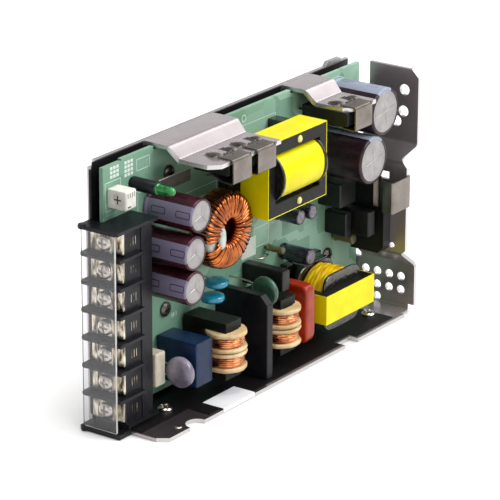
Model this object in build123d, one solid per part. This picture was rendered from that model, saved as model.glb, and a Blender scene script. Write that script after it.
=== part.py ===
from build123d import *
import math
import os

os.makedirs("parts", exist_ok=True)

# Open-frame switching power supply. All pieces are drawn in the chassis corner frame:
# X runs from the terminal end, Y from the open front edge to the back plate, Z up from the base.
# The last step moves every piece so that the origin is the centre of the chassis base face.

# Folded sheet chassis
CHASSIS_LENGTH = 156.5
CHASSIS_DEPTH = 32.1
CHASSIS_HEIGHT = 95.0
SHEET = 1.5
BEND_RADIUS = 1.7
CORNER_CHAMFER = 3.0
HUMP_LENGTH = 14.0
HUMP_RISE = 1.6
HUMP_FROM_END = 3.5
ROUND_NOTCH_AT = 18.4
ROUND_NOTCH_RADIUS = 4.2
STEP_NOTCH_LEFT = 109.0
STEP_NOTCH_LENGTH = 8.5
STEP_NOTCH_DEPTH = 3.4

# Printed circuit board and what lies behind it
INSULATION = 0.4
FILM_STEP_AT = 27.0
FILM_STEP_DEPTH = 10.2
SPACER_LENGTH = 3.2
SPACER_RADIUS = 3.0
BOARD_THICKNESS = 1.6
BOARD_LEFT = 0.5
BOARD_END_GAP = 0.6
BOARD_BOTTOM = 3.2
BOARD_TOP_GAP = 0.9
BACK_INNER = CHASSIS_DEPTH - SHEET
BOARD_FACE = BACK_INNER - SPACER_LENGTH - BOARD_THICKNESS
BOARD_RIGHT = CHASSIS_LENGTH - SHEET - BOARD_END_GAP
BOARD_TOP = CHASSIS_HEIGHT - BOARD_TOP_GAP
FLOOR = SHEET + INSULATION

# Top brackets: tabs folded forward over the board, with a step down to a clamping ledge
BRACKET_STEP = 4.5
STEP_FRONT = 16.6
STEP_BACK = 20.2
LEDGE_FRONT = 1.2
LEDGE_TOP = CHASSIS_HEIGHT - BRACKET_STEP
LEDGE_UNDER = LEDGE_TOP - SHEET
BRACKET_SPANS = ((29.0, 69.0), (110.5, 128.5))
LEDGE_INSET = 1.6
LEDGE_CORNER = 3.5
BRACKET_NOTCH_GAP = 0.8

# End wall folded up from the base, with its clamping panel set inward
END_INNER = CHASSIS_LENGTH - SHEET
LOWER_PANEL_DEPTH = CHASSIS_DEPTH - 4.1
JOGGLE = 5.5
JOGGLE_LOW = 19.5
JOGGLE_LOW_TOP = 24.5
JOGGLE_HIGH_BOTTOM = CHASSIS_HEIGHT - 35.0
JOGGLE_HIGH = CHASSIS_HEIGHT - 28.5
PANEL_FRONT = 0.8
PANEL_DEPTH = BOARD_FACE - 1.8
PANEL_INNER = END_INNER - JOGGLE
UPPER_PANEL_DEPTH = BOARD_FACE - 4.3
VENT_RADIUS = 1.65
VENT_PITCH = 5.3
VENT_FIRST_Y = 5.9
VENT_COLUMNS = 4
VENT_LOW_COLUMNS = 2
VENT_HEIGHTS = (13.4, 8.1)
VENT_LOW_HEIGHT = 3.4
END_HOLE_RADIUS = 2.1
END_HOLES = ((6.0, CHASSIS_HEIGHT - 8.3), (6.3, CHASSIS_HEIGHT - 16.6), (9.3, CHASSIS_HEIGHT - 20.8))

# Mounting holes
MOUNT_HOLE_RADIUS = 1.6
BACK_HOLE_SPACING_X = 120.0
BACK_HOLE_SPACING_Z = 55.0
BACK_HOLE_MID_X = 78.0
BACK_HOLE_MID_Z = 47.0
BASE_SCREWS_AT = ((20.9, 15.9), (139.1, 9.9))
BOARD_SCREWS_AT = ((36.5, BOARD_TOP - 11.6), (113.0, BOARD_TOP - 26.1), (34.0, 33.0), (134.0, 24.0))

# Seven-way terminal block with a hinged clear cover
WAYS = 7
WAY_PITCH = 10.1
BLOCK_FIRST_FIN = 3.3
FIN = 1.2
BLOCK_LEFT = -6.7
BLOCK_RIGHT = 15.6
BLOCK_FRONT = BOARD_FACE - 11.5
BLOCK_REAR = CHASSIS_DEPTH - 0.8
FIN_RIGHT = 8.2
POST_RIGHT = 14.0
CORE_LEFT = -0.6
CORE_FRONT = BOARD_FACE - 9.6
POST_STEP = 0.4
BLOCK_EDGE_GAP = 0.3
FOOT_BOTTOM = 0.3
FOOT_TOP = 2.0
COVER_THICKNESS = 1.0
COVER_FRONT = BLOCK_FRONT + 1.4
COVER_GAP = 0.3
PIVOT_RADIUS = 0.45
PIVOT_CLEARANCE = 0.07
PIVOT_LENGTH = 0.9
TERMINAL_SCREW_Y = BOARD_FACE - 3.2
TERMINAL_PLATE = 1.0
TERMINAL_PLATE_WIDTH = 7.6
TERMINAL_PLATE_LENGTH = 13.0
WASHER = 0.8
WASHER_SIDE = 6.6
TERMINAL_HEAD_RADIUS = 2.9
TERMINAL_HEAD = 1.7
TERMINAL_SHANK_RADIUS = 1.5
TERMINAL_SHANK = 7.0
HOLE_CLEARANCE = 0.1

# Voltage trimmer and pilot light
TRIMMER_AT = (5.7, BOARD_TOP - 11.7)
TRIMMER_SIZE = (6.0, 6.7)
TRIMMER_HEIGHT = 8.0
ROTOR_RADIUS = 1.9
ROTOR_THICKNESS = 1.3
ROTOR_CLEARANCE = 0.08
ROTOR_HEIGHT = 4.2
LED_AT = (16.5, BOARD_TOP - 10.0)
LED_SPACER_RADIUS = 2.4
LED_SPACER_HEIGHT = 10.5
LED_RADIUS = 1.6
LED_HEIGHT = 7.6
LED_RIM_RADIUS = 1.95
LED_RIM = 0.8

# Round capacitors: place on the board, sleeve radius, height
SLEEVE = 0.22
OUTPUT_CAPACITOR_RADIUS = 6.1
OUTPUT_CAPACITOR_HEIGHT = 20.5
OUTPUT_CAPACITORS_AT = ((28.0, 73.2), (24.9, 60.4), (24.5, 47.9))
INPUT_CAPACITOR_RADIUS = 9.0
INPUT_CAPACITOR_HEIGHT = 22.0
INPUT_CAPACITORS_AT = ((139.1, BOARD_TOP - 11.5), (131.8, BOARD_TOP - 28.4))
SMALL_CAPACITORS = ((101.4, BOARD_TOP - 44.2, 2.8, 11.0), (109.2, BOARD_TOP - 44.2, 2.8, 11.0),
                    (105.3, 33.9, 3.1, 13.0))

# Output choke: wound ring standing clear of the board on a moulded cradle
TOROID_AT = (51.4, 58.9)
TOROID_MID_HEIGHT = 11.3
TOROID_OUTER = 12.9
TOROID_INNER = 4.4
TOROID_THICKNESS = 12.0
TOROID_FOOT = 20.2
TOROID_FOOT_HEIGHT = 1.6
TURNS = 28
TURN_WIDTH = 0.85
WOUND_ANGLE = 325.0
GAP_ANGLE = 185.0
WINDING_BUILD = 1.4
WINDING_CORNER = 3.2
WIRE_CLEARANCE = 0.03

# Main transformer
TRANSFORMER_LENGTH = 36.0
TRANSFORMER_WIDTH = 27.8
TRANSFORMER_GAP = 0.1
TRANSFORMER_AT = (83.1, LEDGE_UNDER - TRANSFORMER_GAP - TRANSFORMER_WIDTH / 2)
TRANSFORMER_CORE_THICKNESS = 12.0
TRANSFORMER_CORE_BOTTOM = 10.0
TAPE = 0.35
CORE_YOKE = 4.2
CORE_LEG = 4.6
WINDING_RADIUS = 9.4
CORE_CENTRE_RADIUS = 4.6
BOBBIN_WALL = 0.8
CHEEK = 1.0

# Standby transformer
SMALL_TRANSFORMER_AT = (114.8, 17.2)
SMALL_TRANSFORMER_LENGTH = 31.2
SMALL_TRANSFORMER_THICKNESS = 11.0
SMALL_TRANSFORMER_TOP = 24.0
SMALL_TRANSFORMER_BOTTOM = 3.6
SMALL_YOKE = 3.8
SMALL_LEG = 3.6
SMALL_CENTRE = 7.0
SMALL_WINDING_RADIUS = 11.2

# Line filter chokes: sectioned bobbin on a closed core
CHOKES_AT = ((47.7, 11.0), (80.8, 9.7))
CHOKE_AXIS_HEIGHT = 16.6
CHOKE_FLANGE_RADIUS = 7.4
CHOKE_COIL_RADIUS = 6.9
CHOKE_HUB_RADIUS = 5.0
CHOKE_LEG_RADIUS = 4.2
CHOKE_SECTIONS = (1.5, 4.0, 3.2, 4.0, 1.5)
CHOKE_CORE_WIDTH = 9.0
CHOKE_CORE_BAR = 3.5
CHOKE_CORE_BACK_GAP = 1.5

# Clamped power devices
DEVICE_WIDTH = 10.2
DEVICE_LENGTH = 15.0
DEVICE_THICKNESS = 4.5
DEVICES_X = (44.6, 59.0)
SWITCH_X = 119.0
SWITCH_WIDTH = 15.0
SWITCH_LENGTH = 20.0
SWITCH_THICKNESS = 5.2
DEVICE_FRONT = 2.0
CLIP_THICKNESS = 0.5
CLIP_BEND = 0.9
CLIP_WIDTH = 10.6
CLIP_FRONT = 0.0
CLIP_LEG = 11.5
CLIP_HEIGHT = 9.2
PRONG_WIDTH = 2.4
SLOT_LENGTH = 4.0
SLOT_WIDTH = 3.0
END_CLIP_WIDTH = 12.0
END_CLIP_HEIGHT = 12.5
END_CLIP_Z = 49.5
BRIDGE_THICKNESS = 4.6
BRIDGE_LENGTH = 26.4
BRIDGE_DEPTH = 14.6
BRIDGE_FRONT = 7.6
BRIDGE_BOTTOM = 24.6

# Boxes and discs on the board: x, z, size along x, size along z, height
BLUE_CAPACITOR = (33.4, 17.1, 9.6, 16.2, 17.8)
BLACK_CAPACITOR = (82.2, 32.9, 4.5, 7.6, 18.0)
FUSE_BOX = (17.5, 18.2, 5.6, 12.3, 10.8)
POWER_PACKAGES = ((134.6, 37.6, 3.8, 9.0, 9.5), (139.6, 38.0, 4.4, 10.0, 16.4), (133.2, 50.2, 10.4, 9.4, 10.0))
RED_CAPACITOR = (92.4, 17.8, 6.6, 22.4, 13.6)
RED_CAPACITOR_LIFT = 8.4
VARISTOR = (22.8, 16.5, 15.2, 5.6, 4.2)
THERMISTOR = (72.4, 31.4, 15.7, 5.5, 3.0)
CERAMIC_CAPACITORS = ((52.0, 39.4), (49.7, 34.5))
CERAMIC_RADIUS = 4.4
CERAMIC_THICKNESS = 3.0
CERAMIC_HEIGHT = 9.2
LEAD_RADIUS = 0.35
LEAD_SPREAD = 5.0
RESISTORS = ((138.5, 30.6, 2.0, 10.0), (94.4, 38.6, 1.4, 9.0))

# Moulded partition and bare label
PARTITION_LEFT = 63.6
PARTITION_THICKNESS = 3.5
PARTITION_FRONT = 2.8
PARTITION_TOP = 33.2
PARTITION_CHAMFER = 3.2
LABEL_SPAN = (33.5, 52.0)
LABEL_DEPTH = 9.0
LABEL_THICKNESS = 0.12
LABEL_FLAP = 1.5


def block(x0, x1, y0, y1, z0, z1):
    """Rectangular solid between two opposite corners."""
    size = (x1 - x0, y1 - y0, z1 - z0)
    middle = ((x0 + x1) / 2, (y0 + y1) / 2, (z0 + z1) / 2)
    return Pos(*middle) * Box(*size)


def rod(start, direction, radius, length):
    """Round bar from a point along a direction."""
    place = Plane(origin=start, z_dir=direction)
    return extrude(place * Circle(radius), length)


def prism(plane, outline, length):
    """Straight solid from an outline on a plane, along the normal of the plane."""
    return extrude(plane * outline, length, dir=plane.z_dir)


def seat(x, z):
    """Place on the component side: local Z stands off the board, local X and Y run along X and Z."""
    return Plane(origin=(x, BOARD_FACE, z), x_dir=(1, 0, 0), z_dir=(0, -1, 0)).location


def side_plane(x):
    """Sketch plane across the length, with local X along Y and local Y along Z."""
    return Plane(origin=(x, 0, 0), x_dir=(0, 1, 0), z_dir=(1, 0, 0))


def front_plane(y):
    """Sketch plane facing the back, with local X along X and local Y along Z."""
    return Plane(origin=(0, y, 0), x_dir=(1, 0, 0), z_dir=(0, -1, 0))


def strip_face(points, thickness, bend):
    """Section of a bent strip whose middle line runs through the points."""
    mids = [Vector(*p) for p in points]
    headings = [(b - a).normalized() for a, b in zip(mids, mids[1:])]
    normals = [Vector(-h.Y, h.X) for h in headings]
    half = thickness / 2
    sides = []
    for sign in (1, -1):
        line = [mids[0] + normals[0] * (sign * half)]
        radii = []
        for corner in range(1, len(mids) - 1):
            before = normals[corner - 1]
            after = normals[corner]
            mitre = (before + after) / (1 + before.dot(after))
            line.append(mids[corner] + mitre * (sign * half))
            turn = headings[corner - 1].X * headings[corner].Y - headings[corner - 1].Y * headings[corner].X
            radii.append(bend - sign * half * (1 if turn > 0 else -1))
        line.append(mids[-1] + normals[-1] * (sign * half))
        sides.append(FilletPolyline(*[(p.X, p.Y) for p in line], radius=radii))
    first, second = sides
    return make_face(Curve() + [first, second, Line(first @ 0, second @ 0), Line(first @ 1, second @ 1)])


def chassis_channel():
    """Base flange and back plate folded from one sheet."""
    middle = CHASSIS_DEPTH - SHEET / 2
    points = ((0, SHEET / 2), (middle, SHEET / 2), (middle, CHASSIS_HEIGHT))
    channel = prism(side_plane(0), strip_face(points, SHEET, BEND_RADIUS), CHASSIS_LENGTH - BEND_RADIUS - SHEET / 2)
    return channel - block(-1, 2.5, BACK_INNER - 1, CHASSIS_DEPTH + 1, CHASSIS_HEIGHT - 2.0, CHASSIS_HEIGHT + 1)


def end_wall():
    """End wall folded up from the base, its middle panel set inward by two bends below and two above."""
    outer = CHASSIS_LENGTH - SHEET / 2
    inner = outer - JOGGLE
    points = ((CHASSIS_LENGTH - 12, SHEET / 2), (outer, SHEET / 2), (outer, JOGGLE_LOW), (inner, JOGGLE_LOW_TOP),
              (inner, JOGGLE_HIGH_BOTTOM), (outer, JOGGLE_HIGH), (outer, CHASSIS_HEIGHT))
    wall = prism(front_plane(LOWER_PANEL_DEPTH), strip_face(points, SHEET, BEND_RADIUS), LOWER_PANEL_DEPTH)
    left = PANEL_INNER - 1
    right = CHASSIS_LENGTH + 1
    wall -= block(left, right, PANEL_DEPTH, CHASSIS_DEPTH, JOGGLE_LOW - 2, CHASSIS_HEIGHT + 1)
    return wall - block(left, right, UPPER_PANEL_DEPTH, CHASSIS_DEPTH, JOGGLE_HIGH + 2, CHASSIS_HEIGHT + 1)


def end_trim():
    """Material taken off the front edge of the end wall: chamfers, necks and the recessed clamping edge."""
    low = PANEL_INNER - 1
    high = CHASSIS_LENGTH + 1
    outlines = (
        ((-1, CHASSIS_HEIGHT + 1), (CORNER_CHAMFER, CHASSIS_HEIGHT + 1), (CORNER_CHAMFER, CHASSIS_HEIGHT),
         (0, CHASSIS_HEIGHT - CORNER_CHAMFER), (-1, CHASSIS_HEIGHT - CORNER_CHAMFER)),
        ((-1, JOGGLE_HIGH - 0.5), (0, JOGGLE_HIGH - 0.5), (3.6, JOGGLE_HIGH_BOTTOM + 1.5),
         (PANEL_FRONT, JOGGLE_HIGH_BOTTOM - 1.5), (PANEL_FRONT, JOGGLE_LOW_TOP + 1.5),
         (2.6, JOGGLE_LOW_TOP), (0, JOGGLE_LOW - 1.5), (-1, JOGGLE_LOW - 1.5)),
        ((-1, 3.0), (0, 3.0), (3.0, 0), (3.0, -1), (-1, -1)),
    )
    return [prism(side_plane(low), Polygon(*points, align=None), high - low) for points in outlines]


def end_holes():
    """Fixing holes above and vent holes below on the end wall, and the pilot hole of the clamping panel."""
    places = [(y, z, END_HOLE_RADIUS) for y, z in END_HOLES]
    columns = [VENT_FIRST_Y + i * VENT_PITCH for i in range(VENT_COLUMNS)]
    places += [(y, z, VENT_RADIUS) for z in VENT_HEIGHTS for y in columns]
    places += [(y, VENT_LOW_HEIGHT, VENT_RADIUS) for y in columns[-VENT_LOW_COLUMNS:]]
    places.append((6.7, JOGGLE_LOW_TOP + 2.8, 1.1))
    start = PANEL_INNER - 1
    return [rod((start, y, z), (1, 0, 0), radius, JOGGLE + SHEET + 2) for y, z, radius in places]


def top_bracket(left, right):
    """Tab folded forward from the back plate over the board and stepped down to its clamping ledge."""
    back = CHASSIS_DEPTH - SHEET / 2
    upper = CHASSIS_HEIGHT - SHEET / 2
    lower = LEDGE_TOP - SHEET / 2
    points = ((back, upper - 14), (back, upper), (STEP_BACK, upper), (STEP_FRONT, lower), (LEDGE_FRONT, lower))
    tab = prism(side_plane(left), strip_face(points, SHEET, BEND_RADIUS), right - left)
    corner = LEDGE_FRONT + LEDGE_CORNER
    inner = left + LEDGE_INSET
    outline = Polygon((left - 1, LEDGE_FRONT - 1), (inner + LEDGE_CORNER, LEDGE_FRONT - 1),
                      (inner + LEDGE_CORNER, LEDGE_FRONT), (inner, corner), (inner, STEP_FRONT),
                      (left, STEP_BACK), (left - 1, STEP_BACK), align=None)
    return tab - prism(Plane.XY.offset(LEDGE_UNDER - 1), outline, BRACKET_STEP + SHEET + 3)


def clip_slots():
    """Paired slots in the ledges and in the clamping panel that take the clip prongs."""
    slots = []
    rear = CLIP_LEG + CLIP_FRONT
    for x in (*DEVICES_X, SWITCH_X):
        for side in (-1, 1):
            mid = x + side * (CLIP_WIDTH - PRONG_WIDTH) / 2
            slots.append(block(mid - SLOT_WIDTH / 2, mid + SLOT_WIDTH / 2, rear - SLOT_LENGTH + 1, rear + 1,
                               LEDGE_UNDER - 1, LEDGE_TOP + 1))
    for side in (-1, 1):
        mid = END_CLIP_Z + side * (END_CLIP_WIDTH - PRONG_WIDTH) / 2
        slots.append(block(PANEL_INNER - 1, PANEL_INNER + SHEET + 1, rear - SLOT_LENGTH + 1, rear + 1,
                           mid - SLOT_WIDTH / 2, mid + SLOT_WIDTH / 2))
    return slots


def base_cuts():
    """Corner chamfer, two open notches and the screw holes of the base flange."""
    tall = 3 * SHEET
    outline = Polygon((-1, -1), (2.6, -1), (2.6, 0), (0, 3.8), (-1, 3.8), align=None)
    chamfer_cut = prism(Plane.XY.offset(-SHEET), outline, tall)
    round_notch = Pos(ROUND_NOTCH_AT, 0, 0) * Cylinder(ROUND_NOTCH_RADIUS, tall)
    notch_right = STEP_NOTCH_LEFT + STEP_NOTCH_LENGTH
    step_notch = block(STEP_NOTCH_LEFT, notch_right, -1, STEP_NOTCH_DEPTH, -SHEET, tall)
    right = CHASSIS_LENGTH
    relief = Polygon((right - 6, -1), (right + 1, -1), (right + 1, 3.4), (right, 3.4), (right - 6, 0), align=None)
    relief_cut = prism(Plane.XY.offset(-SHEET), relief, tall)
    holes = [rod((x, y, -1), (0, 0, 1), MOUNT_HOLE_RADIUS, tall) for x, y in BASE_SCREWS_AT]
    return [chamfer_cut, round_notch, step_notch, relief_cut, *holes]


def back_mount_holes():
    """Four tapped holes in the back plate."""
    places = [(BACK_HOLE_MID_X + i * BACK_HOLE_SPACING_X / 2, BACK_HOLE_MID_Z + k * BACK_HOLE_SPACING_Z / 2)
              for i in (-1, 1) for k in (-1, 1)]
    return [rod((x, BACK_INNER - 1, z), (0, 1, 0), MOUNT_HOLE_RADIUS, SHEET + 2) for x, z in places]


def top_hump():
    """Low rounded hump on the top edge of the back plate."""
    top = CHASSIS_HEIGHT
    right = END_INNER - HUMP_FROM_END
    low = top - HUMP_RISE
    high = top + HUMP_RISE
    left = right - HUMP_LENGTH
    outline = Polygon((left, low), (left + 2 * HUMP_RISE, high), (right - 2 * HUMP_RISE, high), (right, low),
                      align=None)
    return prism(front_plane(CHASSIS_DEPTH), outline, SHEET)


def chassis():
    """The whole folded chassis."""
    body = chassis_channel() + end_wall() + top_hump()
    body += [top_bracket(left, right) for left, right in BRACKET_SPANS]
    body -= end_trim()
    body -= end_holes()
    body -= clip_slots()
    body -= base_cuts()
    body -= back_mount_holes()
    return body


def insulation_sheet():
    """Black film folded along the back plate and the base."""
    left = BOARD_LEFT
    right = END_INNER - BEND_RADIUS
    back = BACK_INNER - INSULATION
    sheet = block(left, right, back, BACK_INNER, BEND_RADIUS + SHEET, CHASSIS_HEIGHT - 0.3)
    corner = BACK_INNER - BEND_RADIUS
    sheet += block(left, right, LEDGE_FRONT, corner, SHEET, FLOOR)
    slope = Polygon((corner, SHEET), (corner, FLOOR), (back, BEND_RADIUS + SHEET),
                    (BACK_INNER, BEND_RADIUS + SHEET), align=None)
    sheet += prism(side_plane(left), slope, right - left)
    sheet -= block(left - 1, FILM_STEP_AT, 0, FILM_STEP_DEPTH, 0, FLOOR + 1)
    end = STEP_NOTCH_LEFT + STEP_NOTCH_LENGTH
    sheet -= block(STEP_NOTCH_LEFT - 1, end + 1, 0, STEP_NOTCH_DEPTH + 1, 0, FLOOR + 1)
    for start, end in BRACKET_SPANS:
        sheet -= block(start - 0.5, end + 0.5, back - 1, CHASSIS_DEPTH, CHASSIS_HEIGHT - 4.5, CHASSIS_HEIGHT)
    sheet -= [rod((x, back - 1, z), (0, 1, 0), SPACER_RADIUS + 0.3, 3) for x, z in BOARD_SCREWS_AT]
    sheet -= [rod((x, y, 0), (0, 0, 1), MOUNT_HOLE_RADIUS, 5) for x, y in BASE_SCREWS_AT]
    return sheet


def circuit_board():
    """Glass-fibre board, notched below the brackets."""
    back = BOARD_FACE + BOARD_THICKNESS
    board = block(BOARD_LEFT, BOARD_RIGHT, BOARD_FACE, back, BOARD_BOTTOM, BOARD_TOP)
    board -= block(BOARD_LEFT - 1, 10.6, BOARD_FACE - 1, back + 1, BOARD_TOP - 0.7, BOARD_TOP + 1)
    under = CHASSIS_HEIGHT - SHEET - BRACKET_NOTCH_GAP
    for start, end in BRACKET_SPANS:
        board -= block(start - 0.8, end + 0.8, BOARD_FACE - 1, back + 1, under, BOARD_TOP + 1)
    board -= [rod((x, BOARD_FACE - 1, z), (0, 1, 0), MOUNT_HOLE_RADIUS, 5) for x, z in BOARD_SCREWS_AT]
    return board


def board_spacers():
    """Pressed-in pillars between the back plate and the board, tapped for the board screws."""
    start = BOARD_FACE + BOARD_THICKNESS
    bore = MOUNT_HOLE_RADIUS - HOLE_CLEARANCE
    return [rod((x, start, z), (0, 1, 0), SPACER_RADIUS, SPACER_LENGTH)
            - rod((x, start, z), (0, 1, 0), bore, SPACER_LENGTH) for x, z in BOARD_SCREWS_AT]


def pan_screw(head_radius, head_height, shank_radius, shank_length):
    """Cross-recessed pan head screw with its head above local Z = 0 and its shank below."""
    head = Cylinder(head_radius, head_height, align=(Align.CENTER, Align.CENTER, Align.MIN))
    head = chamfer(head.edges().group_by(Axis.Z)[-1], head_height * 0.4)
    shank = Cylinder(shank_radius, shank_length, align=(Align.CENTER, Align.CENTER, Align.MAX))
    slot = Box(head_radius * 1.1, head_radius * 0.26, head_height)
    recess = Pos(0, 0, head_height) * (slot + Rot(0, 0, 90) * slot)
    return head + shank - recess


def board_screws():
    """Screws through the board into the spacers."""
    length = BOARD_THICKNESS + SPACER_LENGTH - 0.4
    screw = pan_screw(2.7, 1.6, MOUNT_HOLE_RADIUS - HOLE_CLEARANCE, length)
    return [seat(x, z) * screw for x, z in BOARD_SCREWS_AT]


def base_screws():
    """Screws through the film and the base flange."""
    screw = pan_screw(2.7, 1.6, MOUNT_HOLE_RADIUS, FLOOR - 0.2)
    return [Pos(x, y, FLOOR) * screw for x, y in BASE_SCREWS_AT]


def fin_heights():
    """Heights of the middles of the partitions of the terminal block."""
    return [BLOCK_FIRST_FIN + i * WAY_PITCH for i in range(WAYS + 1)]


def way_heights():
    """Heights of the middles of the seven terminals."""
    return [z + WAY_PITCH / 2 for z in fin_heights()[:-1]]


def terminal_block():
    """Moulded body: core on the board, partitions between the ways and two end walls that carry the cover."""
    heights = fin_heights()
    bottom = heights[0] - FIN / 2
    top = heights[-1] + FIN / 2
    outside = -BLOCK_EDGE_GAP
    core = block(CORE_LEFT, FIN_RIGHT, CORE_FRONT, BOARD_FACE, bottom, top)
    body = core + block(FIN_RIGHT, POST_RIGHT, CORE_FRONT - POST_STEP, BOARD_FACE, bottom, top)
    fin_left = BLOCK_LEFT + COVER_THICKNESS + COVER_GAP
    for z in heights[1:-1]:
        low = z - FIN / 2
        high = z + FIN / 2
        body += block(fin_left, FIN_RIGHT, BLOCK_FRONT, CORE_FRONT + 1, low, high)
        body += block(fin_left, outside, CORE_FRONT, BLOCK_REAR, low, high)
    wall_bottom = top - FIN
    body += block(BLOCK_LEFT, BLOCK_RIGHT, BLOCK_FRONT, BOARD_FACE, wall_bottom, top)
    body += block(BLOCK_LEFT, outside, BLOCK_FRONT, BLOCK_REAR, wall_bottom, top)
    body += block(outside, BLOCK_RIGHT, BLOCK_FRONT, BOARD_FACE, bottom, bottom + FIN)
    body += block(BLOCK_LEFT, outside, BLOCK_FRONT, BLOCK_REAR, FOOT_BOTTOM, FOOT_TOP)
    body += block(CORE_LEFT - 0.6, outside, BLOCK_FRONT, BLOCK_REAR - 3, FOOT_BOTTOM, bottom + FIN)
    hole = PIVOT_RADIUS + PIVOT_CLEARANCE
    x, y = cover_axis()
    body += [rod((x, y, wall_bottom), (0, 0, 1), hole + 0.8, FIN + 0.5),
             rod((x, y, FOOT_BOTTOM), (0, 0, 1), hole + 0.8, FOOT_TOP - FOOT_BOTTOM)]
    depth = PIVOT_LENGTH + 0.3
    body -= rod((x, y, wall_bottom - 1), (0, 0, 1), hole, depth + 1)
    body -= rod((x, y, FOOT_TOP - depth), (0, 0, 1), hole, depth + 1)
    clearance = TERMINAL_SHANK_RADIUS + HOLE_CLEARANCE
    body -= [rod((CORE_LEFT - 1, TERMINAL_SCREW_Y, z), (1, 0, 0), clearance, TERMINAL_SHANK + 1)
             for z in way_heights()]
    return body


def cover_axis():
    """Line about which the clear cover swings."""
    return BLOCK_LEFT + COVER_THICKNESS / 2, BLOCK_REAR - 1.6


def terminal_cover():
    """Clear hinged cover with a rounded rear edge and two pivot pins."""
    bottom = FOOT_TOP + 0.2
    top = fin_heights()[-1] - FIN / 2 - 0.2
    x, y = cover_axis()
    inner = BLOCK_LEFT + COVER_THICKNESS
    plate = block(BLOCK_LEFT, inner, COVER_FRONT, y, bottom, top)
    plate += rod((x, y, bottom), (0, 0, 1), COVER_THICKNESS / 2, top - bottom)
    pin = PIVOT_LENGTH + 0.2
    plate += rod((x, y, bottom - pin), (0, 0, 1), PIVOT_RADIUS, pin + 1)
    plate += rod((x, y, top - 1), (0, 0, 1), PIVOT_RADIUS, pin + 1)
    return plate


def terminal_plates():
    """Tin-plated contact plates seated on the core, one per way."""
    plate = block(CORE_LEFT - TERMINAL_PLATE, CORE_LEFT, TERMINAL_SCREW_Y - TERMINAL_PLATE_LENGTH / 2,
                  TERMINAL_SCREW_Y + TERMINAL_PLATE_LENGTH / 2, -TERMINAL_PLATE_WIDTH / 2, TERMINAL_PLATE_WIDTH / 2)
    hole = rod((CORE_LEFT - 3, TERMINAL_SCREW_Y, 0), (1, 0, 0), TERMINAL_SHANK_RADIUS + HOLE_CLEARANCE, 5)
    return [Pos(0, 0, z) * (plate - hole) for z in way_heights()]


def terminal_washers():
    """Square clamping washers with two turned-up edges, one per way."""
    outer = CORE_LEFT - TERMINAL_PLATE - WASHER
    half = WASHER_SIDE / 2
    y = TERMINAL_SCREW_Y
    lip = half - TERMINAL_HEAD_RADIUS - HOLE_CLEARANCE
    washer = block(outer, outer + WASHER, y - half, y + half, -half, half)
    washer += block(outer - WASHER, outer + WASHER, y - half, y - half + lip, -half, half)
    washer += block(outer - WASHER, outer + WASHER, y + half - lip, y + half, -half, half)
    washer -= rod((outer - 1, y, 0), (1, 0, 0), TERMINAL_SHANK_RADIUS + HOLE_CLEARANCE, 4)
    return [Pos(0, 0, z) * washer for z in way_heights()]


def terminal_screws():
    """Terminal screws with their heads towards the cover."""
    screw = pan_screw(TERMINAL_HEAD_RADIUS, TERMINAL_HEAD, TERMINAL_SHANK_RADIUS, TERMINAL_SHANK)
    x = CORE_LEFT - TERMINAL_PLATE - WASHER
    return [Plane(origin=(x, TERMINAL_SCREW_Y, z), x_dir=(0, 1, 0), z_dir=(-1, 0, 0)).location * screw
            for z in way_heights()]


def trimmer_body():
    """Moulded trimmer housing with a round recess in its side."""
    x, z = TRIMMER_AT
    width, tall = TRIMMER_SIZE
    body = seat(x, z) * Box(width, tall, TRIMMER_HEIGHT, align=(Align.CENTER, Align.CENTER, Align.MIN))
    body = chamfer(body.edges().group_by(Axis.Y)[0], 0.5)
    recess = ROTOR_THICKNESS + 0.5
    left = x - width / 2
    y = BOARD_FACE - ROTOR_HEIGHT
    return body - rod((left - 1, y, z), (1, 0, 0), ROTOR_RADIUS + ROTOR_CLEARANCE, recess + 1)


def trimmer_rotor():
    """Slotted rotor in the recess of the trimmer."""
    x, z = TRIMMER_AT
    left = x - TRIMMER_SIZE[0] / 2 + 0.2
    y = BOARD_FACE - ROTOR_HEIGHT
    rotor = rod((left, y, z), (1, 0, 0), ROTOR_RADIUS, ROTOR_THICKNESS + 0.3)
    slot = Box(1.1, 0.55, ROTOR_RADIUS * 1.6)
    cross = Pos(left, y, z) * (slot + Rot(90, 0, 0) * slot)
    return rotor - cross


def led_spacer():
    """Black tube that holds the pilot light off the board."""
    tube = Cylinder(LED_SPACER_RADIUS, LED_SPACER_HEIGHT, align=(Align.CENTER, Align.CENTER, Align.MIN))
    tube -= Cylinder(0.9, LED_SPACER_HEIGHT * 3)
    return seat(*LED_AT) * tube


def led_lens():
    """Green pilot light with its rim, dome and lead stub."""
    base = LED_SPACER_HEIGHT
    rim = Pos(0, 0, base) * Cylinder(LED_RIM_RADIUS, LED_RIM, align=(Align.CENTER, Align.CENTER, Align.MIN))
    barrel = Pos(0, 0, base) * Cylinder(LED_RADIUS, LED_HEIGHT, align=(Align.CENTER, Align.CENTER, Align.MIN))
    barrel = chamfer(barrel.edges().group_by(Axis.Z)[-1], LED_RADIUS * 0.5)
    stub = Cylinder(0.5, base + 1, align=(Align.CENTER, Align.CENTER, Align.MIN))
    return seat(*LED_AT) * (rim + barrel + stub)


def capacitor_can(radius, height, arms):
    """Aluminium can with a bevelled crown and a scored vent in its end."""
    inner = radius - SLEEVE
    crown = 0.14 * radius
    top = height - SLEEVE
    can = Cylinder(inner, top, align=(Align.CENTER, Align.CENTER, Align.MIN))
    can = chamfer(can.edges().group_by(Axis.Z)[-1], crown)
    reach = radius * 0.6
    score = Box(reach, 0.35, 0.4, align=(Align.MIN, Align.CENTER, Align.CENTER))
    can -= [Pos(0, 0, top) * Rot(0, 0, 90 + k * 360 / arms) * score for k in range(arms)]
    return can


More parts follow.
